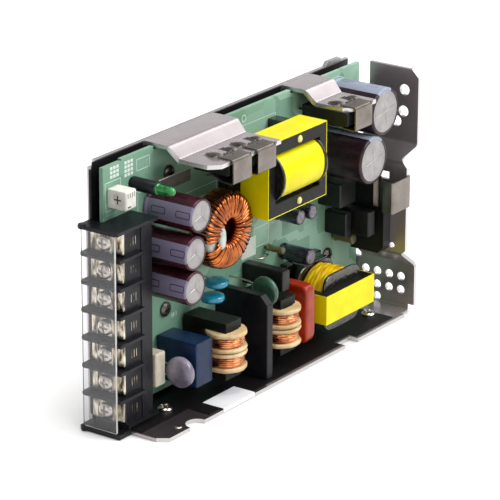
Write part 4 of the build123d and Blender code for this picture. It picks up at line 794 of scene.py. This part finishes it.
crinkled = coating("crinkled_tape", (238, 200, 10), Roughness=0.26, Specular_IOR_Level=0.35)
tint(crinkled, 260, (216, 158, 6), (242, 208, 12), (0.34, 0.6), stretch=(1, 3, 1))
relief(crinkled, 500, 0.25, stretch=(0.3, 2.5, 0.3))
softened("small_transformer_core", ferrite, 0.3, finish="ferrite")
softened("small_transformer_tape", tape, 0.1, finish="yellow_tape")


def cheek(low, high, wide, tall, power, foot):
    """Flange of a standing bobbin: rounded oblong wide * sign(c) |c| ** p by tall * sign(s) |s| ** p, with
    its edge eased by 0.3 mm, from one height off the board to another."""
    t = bearings(96)
    h = np.array((low, low, low + 0.3, high - 0.3, high, high))[:, None] + 0 * t
    shrink = np.array((3.0, 0.3, 0.0, 0.0, 0.3, 3.0))[:, None]
    a = (wide - shrink) * fuller(np.cos(t), power)
    b = (tall - shrink) * fuller(np.sin(t), power)
    return shell(closed(board_places(foot[0], foot[2], np.stack((a, b, h), -1))))


x, _, z = STANDBY
bobbin = [cheek(19.0, 20.3, wide=11.6, tall=10.8, power=0.35, foot=STANDBY),
          cheek(7.3, 8.6, wide=11.6, tall=11.4, power=0.45, foot=STANDBY)]
bobbin += [cushioned((x - 11, BOARD_FACE - 3.4, z - 11.8), (x + 11, BOARD_FACE, z + 11.8), 0.4)]
bobbin += [cushioned((x - 7.5, BOARD_FACE - 8.4, z + side * 5.8), (x + 7.5, BOARD_FACE, z + side * 11.8), 0.3)
           for side in (-1, 1)]
finished("small_transformer_bobbin", bobbin, resin)
winding = wrapped_coil(radius=11.2, flat=11.8, low=8.9, high=18.7, thick=2.0, foot=STANDBY)
finished("small_transformer_winding", [winding], crinkled, "yellow_tape", crease=50)

# Line filter chokes: cream bobbins whose four flanges hold two coils of thick enamelled wire, each on a
# closed ferrite core with one leg up through the bobbin. The core's front lies CORE_FRONT before the
# bobbin's axis.

CHOKES = ((47.7, BOARD_FACE - 16.6, 11.0), (80.8, BOARD_FACE - 16.6, 9.7))
CORE_FRONT = 3.2
FLANGES = ((0.0, 1.5), (5.5, 6.8), (7.4, 8.7), (12.7, 14.2))
COIL_FEET = (1.5, 8.7)


def coil(foot, low, high, radius, wire_radius, turns):
    """Wire up a helix: (radius cos t, radius sin t, low + t * pitch), with a slow wander of its radius."""
    t = np.linspace(0, 2 * math.pi * turns, int(turns * 40))
    h = low + wire_radius + (high - low - 2 * wire_radius) * t / t[-1]
    r = radius + 0.1 * np.sin(0.7 * t)
    x, y, z = foot
    path = np.stack((x + r * np.cos(t), y + r * np.sin(t), z + h), -1)
    return wire(path, wire_radius, (0, 0, 1), 10)


def flange(foot, low, high, radius, hub, phase):
    """Moulded flange, round at its edge, with a rough rim: radius * (1 + 0.012 sin 7t + 0.008 sin 17t)."""
    t = bearings(96)
    rough = 1 + 0.012 * np.sin(7 * t + phase) + 0.008 * np.sin(17 * t + 2 * phase)
    way = np.linspace(-math.pi / 2, math.pi / 2, 9)[:, None]
    edge_r = (radius - 0.35) * rough + 0.35 * np.cos(way)
    edge_h = (low + high) / 2 + (high - low) / 2 * np.sin(way) + 0 * t
    r = np.concatenate((edge_r, np.full((2, 96), hub)))
    h = np.concatenate((edge_h, np.array(((high,), (low,))) + 0 * t))
    x, y, z = foot
    return shell(np.stack((x + r * np.cos(t), y + r * np.sin(t), z + h), -1), loop=True)


cream = coating("cream_bobbin", (220, 190, 140), Roughness=0.45)
tint(cream, 140, (196, 160, 106), (236, 212, 168))
relief(cream, 700, 0.1)
winding_wire = coating("brown_enamelled_wire", (190, 104, 56), Metallic=0.95, Roughness=0.18, Coat_Weight=0.3)
tint(winding_wire, 260, (132, 58, 26), (226, 150, 98), (0.34, 0.62))
for number, foot in enumerate(CHOKES, 1):
    x, y, z = foot
    flanges = [flange(foot, low, high, radius=7.4, hub=4.3, phase=k + number)
               for k, (low, high) in enumerate(FLANGES)]
    hub = turned([(4.25, 0.2), (5.0, 0.2), (5.0, 14.0), (4.25, 14.0)], foot, "up")
    rails = [cushioned((x + side * 4.7, y + 3, z), (x + side * 6.5, BOARD_FACE, z + 1.5), 0.3)
             for side in (-1, 1)]
    finished(f"choke_bobbin_{number}", flanges + [hub] + rails, cream, "cream_plastic")
    core = softened(f"choke_core_{number}", ferrite, 0.7, finish="ferrite", steps=3).data
    corners = rows(core.vertices, "co")
    corners[:, 1] = np.maximum(corners[:, 1], in_row(foot)[1] - CORE_FRONT / 1000)
    core.vertices.foreach_set("co", corners.ravel())
    coils = [coil(foot, low, low + 4.0, radius=6.2, wire_radius=0.52, turns=4.0) for low in COIL_FEET]
    coils += [coil(foot, low + 3.6, low + 0.6, radius=6.6, wire_radius=0.34, turns=1.5) for low in COIL_FEET]
    coils += [turned([(5.02, low), (6.1, low + 0.05), (6.1, low + 3.95), (5.02, low + 4.0)], foot, "up")
              for low in COIL_FEET]
    finished(f"choke_winding_{number}", coils, winding_wire, "copper_wire", crease=80)

# Power devices: flat black packages pressed against the steel, each on three leads or more. Two diodes and a
# transistor hang under the brackets, and the bridge rectifier lies on the inset panel of the end wall.

package = coating("black_package", (19, 19, 20), Roughness=0.42, Specular_IOR_Level=0.35)
tint(package, 500, (14, 14, 15), (27, 27, 28))
relief(package, 3000, 0.012)
for name in ("output_diode_1", "output_diode_2", "switching_transistor", "bridge_rectifier"):
    softened(name, package, 0.2)

# Painted shadow under the left bracket: a thin dark brown sheet stands before the board on top of the first
# output capacitor, where the bracket's shade falls, and the pale strip along its upper edge is a painted
# highlight.

shadow_sheet_paint = coating("painted_shadow_brown", (50, 45, 38), Roughness=0.5, Specular_IOR_Level=0.3)
tint(shadow_sheet_paint, 260, (36, 32, 27), (66, 60, 50), stretch=(1, 1, 3))
relief(shadow_sheet_paint, 500, 0.05)
shadow_strip = cushioned((23.5, 19.8, 79.5), (41.4, 20.15, 84.0), 0.06, 2)
build("painted_shadow_sheet", [shadow_strip], shadow_sheet_paint, finish="black_film")
# The pale strip along the sheet's top is a painted highlight.
highlight_edge_paint = coating("painted_highlight_edge", (170, 160, 148), Roughness=0.6)
tint(highlight_edge_paint, 1500, (140, 130, 118), (196, 188, 176))
highlight_line = cushioned((23.55, 19.78, 83.85), (41.35, 20.17, 84.05), 0.03, 1)
build("painted_highlight_line", [highlight_line], highlight_edge_paint, finish="black_film")

# Spring clips: strips of satin spring steel bent round the front of the ledges and of the end wall. The rear
# edge is cut in teeth that bite behind the ledge, and the foot curls up where it presses on the device.

LEDGE_TOP = 90.5
CLIPS_AT = (44.6, 59.0, 119.0)
END_CLIP_LEVEL = 49.5


def bent_line(points, radius, steps=6):
    """Polyline with each corner eased: a curve (1-t)^2 A + 2t(1-t) C + t^2 B between points radius before and
    after the corner C."""
    points = np.asarray(points, float)
    runs = np.diff(points, axis=0)
    runs /= np.linalg.norm(runs, axis=1, keepdims=True)
    corners = points[1:-1, None]
    before = corners - radius * runs[:-1, None]
    after = corners + radius * runs[1:, None]
    t = np.linspace(0, 1, steps)[None, :, None]
    eased = (1 - t) ** 2 * before + 2 * t * (1 - t) * corners + t ** 2 * after
    return np.concatenate((points[:1], eased.reshape(-1, 2), points[-1:]))


def plate(top, under):
    """Closed plate between two like grids of points: both faces and the strip round their rim."""
    ranks, columns = top.shape[:2]
    count = ranks * columns
    here = np.arange(count).reshape(ranks, columns)
    quads = np.stack((here[:-1, :-1], here[:-1, 1:], here[1:, 1:], here[1:, :-1]), -1).reshape(-1, 4)
    rim_loop = np.concatenate((here[0], here[1:, -1], here[-1, -2::-1], here[-2:0:-1, 0]))
    ahead = np.roll(rim_loop, -1)
    walls = np.stack((rim_loop, ahead, ahead + count, rim_loop + count), -1)
    return np.concatenate((top, under)).reshape(-1, 3), np.concatenate((quads, quads[:, ::-1] + count, walls))


def clip_shape(width, height, grip, thick=0.5, leg=11.5):
    """Clip as (across, depth, level): its section runs from the rear edge along the top, down the front and
    back to the curled foot. The rear edge is cut in teeth of 1.5 mm by |saw|, and the top rises by 0.35 mm to
    the rear."""
    inner = height - grip
    line = bent_line(((4.0, -0.25), (0.25, -0.25), (0.25, -height + 0.25),
                      (leg * 0.45, -height + 0.25 + inner * 0.1), (leg * 0.8, -grip - 0.25),
                      (leg, -grip - 1.15)), 0.9)
    run = np.gradient(line, axis=0)
    run /= np.linalg.norm(run, axis=1, keepdims=True)
    side = np.stack((-run[:, 1], run[:, 0]), -1) * thick / 2
    v = np.linspace(-1, 1, 121)
    saw = np.clip(np.abs((v * 3.4 + 0.5) % 1 - 0.5) * 6 - 1, 0, 1)
    rear = leg - 4.6 - 1.5 * saw * (np.abs(v) < 0.6)
    s = np.linspace(0, 1, 30)[:-1]
    top_depth = rear + (4.0 - rear) * s[:, None]
    across = v * width / 2 + 0 * top_depth
    rise = 0.35 * np.clip((top_depth - 3.0) / (leg - 7.6), 0, 1) ** 2
    flat_top = np.stack((across, top_depth, rise), -1)
    flat_under = flat_top - (0, 0, thick)
    rest = v[None] * width / 2 + 0 * line[:, :1]
    rest_top, rest_under = (np.stack((rest, face[:, :1] + 0 * rest, face[:, 1:] + 0 * rest), -1)
                            for face in (line - side, line + side))
    return np.concatenate((flat_top, rest_top)), np.concatenate((flat_under, rest_under))


def hook(x, low_y, high_y, z, wide, lean):
    """Leaf-shaped prong behind the top of a clip: its half width is wide / 2 * (1 - u ** 3) and its level is
    z + 0.9 * sin(pi * u ** 0.8), so that it arches and comes down on the ledge at its tip."""
    u = np.linspace(0, 1, 22)[:, None]
    v = np.linspace(-1, 1, 9)
    half = wide / 2 * (1 - u ** 3) + 0.08
    points = np.stack((x + half * v + lean * u, low_y + (high_y - low_y) * u + 0 * v,
                       z + 0.9 * np.sin(math.pi * u ** 0.8) - 0.25 * v * v), -1)
    return plate(points, points - (0, 0, 0.35))


def top_clip(x):
    """One clip on a ledge: strip, two hooks, ticks along the left edge and an ear in front."""
    level = LEDGE_TOP + 0.5
    shells = [plate(top + (x, 0, level), under + (x, 0, level))]
    shells += [hook(x - 4.2, 5.6, 12.4, level + 0.1, 2.2, -0.5),
               hook(x + 4.2, 5.6, 10.6, level + 0.1, 2.0, 0.3)]
    shells += [cushioned((x - 5.62, y, level - 0.55), (x - 5.2, y + 0.42, level + 0.12), 0.08, 2)
               for y in 1.9 + 0.85 * np.arange(6)]
    shells += [cushioned((x + 4.6, -0.1, level - 0.5), (x + 5.9, 0.9, level + 0.05), 0.2, 3)]
    return shells


spring = coating("spring_steel", (136, 129, 124), Metallic=0.92, Roughness=0.28)
tint(spring, 120, (108, 100, 94), (138, 130, 124))
polish(spring, 1400, 0.22, 0.38, stretch=(0.1, 1, 1))
top, under = clip_shape(width=10.6, height=9.2, grip=6.5)
clips = [skin for x in CLIPS_AT for skin in top_clip(x)]
# A small dark dome sits on each clip's top, drawn in the black of the packages.
dark_domes = [turned([(0.5, 0.52)] + dome(0.42, 0.54, 0.66, 4), (x + 0.6, 4.6, LEDGE_TOP), "up", 20)
           for x in CLIPS_AT]
build("clip_dark_domes", dark_domes, package, finish="spring_steel")
finished("top_clips", clips, spring, "spring_steel", crease=40)
_, end_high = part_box("end_clip")
end_face = end_high.x * 1000 + CHASSIS_CORNER[0]
top, under = clip_shape(width=12.0, height=12.5, grip=6.6)
sideways = [np.stack((end_face + level, depth, END_CLIP_LEVEL - across), -1)
            for across, depth, level in (np.moveaxis(grid, -1, 0) for grid in (top, under))]
finished("end_clip", [plate(*sideways)], spring, "spring_steel", crease=40)

# Boxed capacitors, fuse box and small packages: moulded shells filled with resin, flat on the board. The blue
# capacitor stands on two low ribs.


def potted(x, z, width, tall, height, edge, rib=0.0):
    """Moulded box on the board, with a raised stand-off rib along each side when rib is given."""
    near, far = x - width / 2, x + width / 2
    box = [cushioned((near, BOARD_FACE - height, z - tall / 2), (far, BOARD_FACE - rib, z + tall / 2), edge)]
    if rib:
        lines = [z + side * (tall / 2 - 1.2) for side in (-1, 1)]
        box += [cushioned((near + 0.4, BOARD_FACE - rib - 0.6, line - 0.7),
                          (far - 0.4, BOARD_FACE, line + 0.7), 0.2) for line in lines]
    return box


blue = coating("blue_box", (16, 38, 74), Roughness=0.3, Specular_IOR_Level=0.3)
tint(blue, 200, (12, 32, 64), (22, 46, 84))
relief(blue, 2600, 0.012)
blue_box = potted(33.4, 17.1, width=9.6, tall=16.2, height=17.8, edge=0.6, rib=0.5)
finished("blue_film_capacitor", blue_box, blue, "blue_plastic")
black_box = potted(82.2, 32.9, width=4.5, tall=7.6, height=18.0, edge=0.5)
finished("black_box_capacitor", black_box, package)
softened("power_packages", package, 0.4, steps=3)
beige = coating("beige_box", (200, 192, 172), Roughness=0.45)
tint(beige, 300, (184, 175, 152), (210, 203, 186))
relief(beige, 2400, 0.012)
softened("fuse_box", beige, 0.5, finish="beige_plastic", steps=3)

# Dipped film capacitor: wound film under a thick glossy orange-red skin that is dished on its faces and runs
# down both leads.

RED_CAPACITOR = (92.4, BOARD_FACE - 15.2, 17.8)


def dipped(middle, half, power, hollow):
    """Dipped block about its middle: half sizes times (cos u cos v, cos u sin v, sin u), pushed out until the
    power norm is 1, and drawn in across by hollow where the resin lies thin on the middle of the faces."""
    u = np.linspace(-math.pi / 2, math.pi / 2, 60)[:, None]
    v = bearings(96)
    a = np.cos(u) * np.cos(v)
    b = np.cos(u) * np.sin(v)
    c = np.sin(u) + 0 * v
    grow = (np.abs(a) ** power + np.abs(b) ** power + np.abs(c) ** power) ** (-1 / power)
    a, b, c = a * grow, b * grow, c * grow
    dish = 1 - hollow * np.clip(1.15 - np.maximum(np.abs(b), np.abs(c)) ** 4 * 1.4, 0, 1)
    return shell(np.asarray(middle) + np.asarray(half) * np.stack((a * dish, b, c), -1))


red = coating("red_epoxy", (160, 42, 16), Roughness=0.22, Specular_IOR_Level=0.35, Coat_Weight=0.15)
tint(red, 150, (134, 28, 10), (176, 52, 20))
relief(red, 260, 0.12, detail=1.0)
run = np.linspace(0, 1, 16)
red_skins = [dipped(RED_CAPACITOR, half=(3.3, 6.8, 11.2), power=6.0, hollow=0.14)]
for side in (-1, 1):
    line = np.stack((0 * run, side * (2.5 + 4.5 * run ** 3), 9.6 * run), -1)
    red_skins.append(wire(board_places(RED_CAPACITOR[0], RED_CAPACITOR[2], line), 0.4, (1, 0, 0)))
finished("red_film_capacitor", red_skins, red, "red_epoxy", crease=60)

# Dipped discs: ceramic and metal-oxide discs in thick glossy resin, each standing on two stiff tinned leads.
# A few bare jumper wires arch over the board beside them. Places give x and z, and for a jumper its half
# span and rise.

VARISTOR = (22.8, 16.5)
THERMISTOR = (72.4, 31.4)
CERAMICS = ((52.0, 39.4), (49.7, 34.5))
JUMPERS = ((62.0, 47.4, 4.0, 2.2), (66.4, 44.6, 4.6, 2.6), (60.2, 43.2, 3.4, 1.8), (90.6, 36.2, 3.2, 2.4))


def disc(place, height, radius, thick, axis):
    """Dipped disc, lens-shaped and fuller at the middle than at the rim: radius |cos u| ** 0.45 by half its
    thickness * |sin u| ** 0.75 with the sign, turned round the axis that its faces look along."""
    u = np.linspace(-math.pi / 2, math.pi / 2, 25)[:, None]
    v = bearings(56)
    r = radius * np.abs(np.cos(u)) ** 0.45
    c = thick / 2 * fuller(np.sin(u), 0.75) + 0 * v
    a = r * np.cos(v)
    b = r * np.sin(v)
    x, z = place
    y = BOARD_FACE - height
    return shell(np.stack((x + c, y + a, z + b) if axis == "x" else (x + a, y + b, z + c), -1))


def lead_wires(place, height, axis):
    """Two leads from the board up to a disc, 2.5 mm to either side of its middle: straight, then drawn in by
    0.7 q ** 4 towards its rim."""
    q = np.linspace(0, 1, 14)
    shifts = [side * (2.5 - 0.7 * q ** 4) for side in (-1, 1)]
    paths = [(0 * q, shift, height * q) if axis == "x" else (shift, 0 * q, height * q) for shift in shifts]
    return [wire(board_places(*place, np.stack(path, -1)), 0.33, (0.3, 0.1, 0.4)) for path in paths]


grey_dip = coating("violet_grey_epoxy", (126, 118, 136), Roughness=0.2, Coat_Weight=0.4)
tint(grey_dip, 160, (104, 97, 116), (150, 143, 158))
varistor = disc(VARISTOR, height=15.2, radius=5.6, thick=4.2, axis="x")
finished("varistor", [varistor], grey_dip, "grey_epoxy", crease=60)
green_dip = coating("green_epoxy", (50, 84, 66), Roughness=0.3, Coat_Weight=0.2)
tint(green_dip, 200, (38, 68, 52), (66, 102, 82))
thermistor = disc(THERMISTOR, height=15.7, radius=5.5, thick=3.0, axis="x")
finished("thermistor", [thermistor], green_dip, "dark_green_epoxy", crease=60)
turquoise = coating("turquoise_epoxy", (0, 120, 150), Roughness=0.12, Coat_Weight=0.4)
tint(turquoise, 200, (0, 100, 128), (16, 142, 172))
ceramics = [disc(place, height=9.2, radius=4.4, thick=3.0, axis="z") for place in CERAMICS]
finished("ceramic_capacitors", ceramics, turquoise, "turquoise_epoxy", crease=60)
tinned = coating("tinned_lead", (190, 186, 178), Metallic=1.0, Roughness=0.3)
polish(tinned, 2000, 0.2, 0.4)
legs = lead_wires(VARISTOR, 10.6, "x") + lead_wires(THERMISTOR, 11.0, "x")
legs += [leg for place in CERAMICS for leg in lead_wires(place, 6.0, "z")]
arch = np.linspace(0, math.pi, 24)
for x, z, span, rise in JUMPERS:
    line = np.stack((span * np.cos(arch), 0 * arch, 0.3 + rise * np.sin(arch) ** 0.5), -1)
    legs.append(wire(board_places(x, z, line), 0.3, (0, 0.1, 1)))
build("disc_leads", legs, tinned, finish="bright_screw")

# Resistors: coated rods with swollen ends, standing on their leads. Places give x and z, radius and height.

RESISTORS = ((138.5, 30.6, 2.0, 10.0), (94.4, 38.6, 1.4, 9.0))
olive = coating("olive_coating", (92, 90, 58), Roughness=0.36)
tint(olive, 300, (76, 74, 46), (110, 108, 74))
rods = []
for x, z, radius, height in RESISTORS:
    foot = [(0.4, 0.0), (0.4, 0.8)] + arc(radius - 0.7, 1.6, 0.7, -90, 50, 6)
    waist = [(radius * 0.86, 3.2), (radius * 0.86, height - 2.6)]
    head = arc(radius - 0.7, height - 1.3, 0.7, -50, 90, 6) + [(0.4, height - 0.5)]
    rods.append(turned(foot + waist + head, (x, BOARD_FACE, z)))
finished("resistors", rods, olive, "olive_coating")

# Partition: moulded black wall that stands on the film between the two filter chokes and keeps the mains side
# apart.

softened("partition", black, 0.4, steps=3)

# Label: a bare white paper label, stuck on the film of the base and folded down over the front edge of the
# steel.

paper = coating("white_label", (246, 246, 250), Roughness=0.4)
tint(paper, 160, (240, 240, 245), (250, 250, 253))
relief(paper, 300, 0.01)
softened("label", paper, 0.0, finish="bare_label")

# Floor: a pale studio table. It glows towards the camera, so that it shows white, and ambient occlusion dims
# the glow where the supply covers the sky: a painted soft shadow round its foot.


def seen_by(material):
    """1 for rays from the camera, off gloss or through clear plastic, and 0 for those that only light."""
    rays = node(material, "ShaderNodeLightPath").outputs
    seen = maths(material, "MAXIMUM", rays["Is Camera Ray"], rays["Is Glossy Ray"])
    return maths(material, "MAXIMUM", seen, rays["Is Transmission Ray"])


table_top = coating("pale_table", (212, 211, 210), Roughness=0.9)
tint(table_top, 8, (210, 209, 208), (214, 213, 212))
# The glow fades with ambient occlusion near the supply: a painted contact shadow.
open_sky = node(table_top, "ShaderNodeAmbientOcclusion", {"Distance": 0.05}, samples=8).outputs["AO"]
glow_with_painted_shadow = carried(table_top, open_sky, 0.05, 0.66, 0.3, 0.97)
drive(table_top, "Emission Strength", maths(table_top, "MULTIPLY", seen_by(table_top), glow_with_painted_shadow))
table_top.node_tree.nodes["Principled BSDF"].inputs["Emission Color"].default_value = (1, 1, 1, 1)
floor_mesh = bpy.data.meshes.new("floor")
floor_mesh.from_pydata([(-4, -4, 0), (4, -4, 0), (4, 4, 0), (-4, 4, 0)], [], [(0, 1, 2, 3)])
floor_mesh.materials.append(table_top)
linked("floor", floor_mesh)

# Light: large soft lamps overhead, in front, at the left and off the right end. The room shows white to the
# camera, gloss sees it white at the horizon and greyer overhead, and its dim light comes mostly from above.


def soft_lamp(name, place, aim, size, watts):
    """Square lamp that looks from its place to the point it aims at."""
    lamp = linked(name, bpy.data.lights.new(name, "AREA"))
    lamp.data.size = size
    lamp.data.energy = watts
    back = np.array(place, float) - aim
    lamp.location = place
    tilt = math.acos(back[2] / np.linalg.norm(back))
    lamp.rotation_euler = (tilt, 0, math.atan2(back[1], back[0]) + math.pi / 2)


soft_lamp("overhead_lamp", (-0.15, -0.15, 1.3), aim=(0, 0, 0.04), size=0.8, watts=7.6)
soft_lamp("key_lamp", (0.4, -0.85, 0.85), aim=(0, 0, 0.05), size=0.75, watts=12)
soft_lamp("fill_lamp", (-0.6, -0.9, 0.45), aim=(0, 0, 0.05), size=0.5, watts=1.8)
soft_lamp("rim_lamp", (0.95, -0.16, 0.78), aim=(0, 0, 0.05), size=0.62, watts=2.4)

world = bpy.data.worlds.new("studio")
world.use_nodes = True
bpy.context.scene.world = world
way = node(world, "ShaderNodeTexCoord").outputs["Generated"]
height = node(world, "ShaderNodeSeparateXYZ", {0: way}).outputs[2]
gloss_room = carried(world, height, 0.8, 0.3, 0.15, 0.8)
camera_ray = node(world, "ShaderNodeLightPath").outputs["Is Camera Ray"]
room = node(world, "ShaderNodeMix", {0: camera_ray, 2: gloss_room, 3: 1.0}).outputs[0]
ambient = carried(world, height, 0.12, 0.36, 0.0, 0.9)
power = node(world, "ShaderNodeMix", {0: seen_by(world), 2: ambient, 3: room}).outputs[0]
sky = world.node_tree.nodes["Background"]
sky.inputs["Color"].default_value = (1, 1, 1, 1)
world.node_tree.links.new(power, sky.inputs["Strength"])

# Camera: a long lens above the terminal end, a little over a metre from the supply, with a slight roll.

AZIMUTH, ELEVATION, ROLL = np.radians((-54.4, 19.8, 0.2))
CAMERA_AT = (-0.84507, -0.60010, 0.41716)
level = math.cos(ELEVATION)
back = np.array((math.sin(AZIMUTH) * level, -math.cos(AZIMUTH) * level, math.sin(ELEVATION)))
right = np.array((math.cos(AZIMUTH), math.sin(AZIMUTH), 0.0))
over = np.cross(back, right)
pose = np.eye(4)
pose[:3, 0] = right * math.cos(ROLL) + over * math.sin(ROLL)
pose[:3, 1] = over * math.cos(ROLL) - right * math.sin(ROLL)
pose[:3, 2] = back
pose[:3, 3] = CAMERA_AT
camera = linked("camera", bpy.data.cameras.new("camera"))
camera.data.sensor_width = 36.0
camera.data.lens = 222.6
camera.data.clip_start = 0.01
camera.matrix_world = pose.T.tolist()
bpy.context.scene.camera = camera
bpy.context.scene.view_settings.view_transform = "Standard"
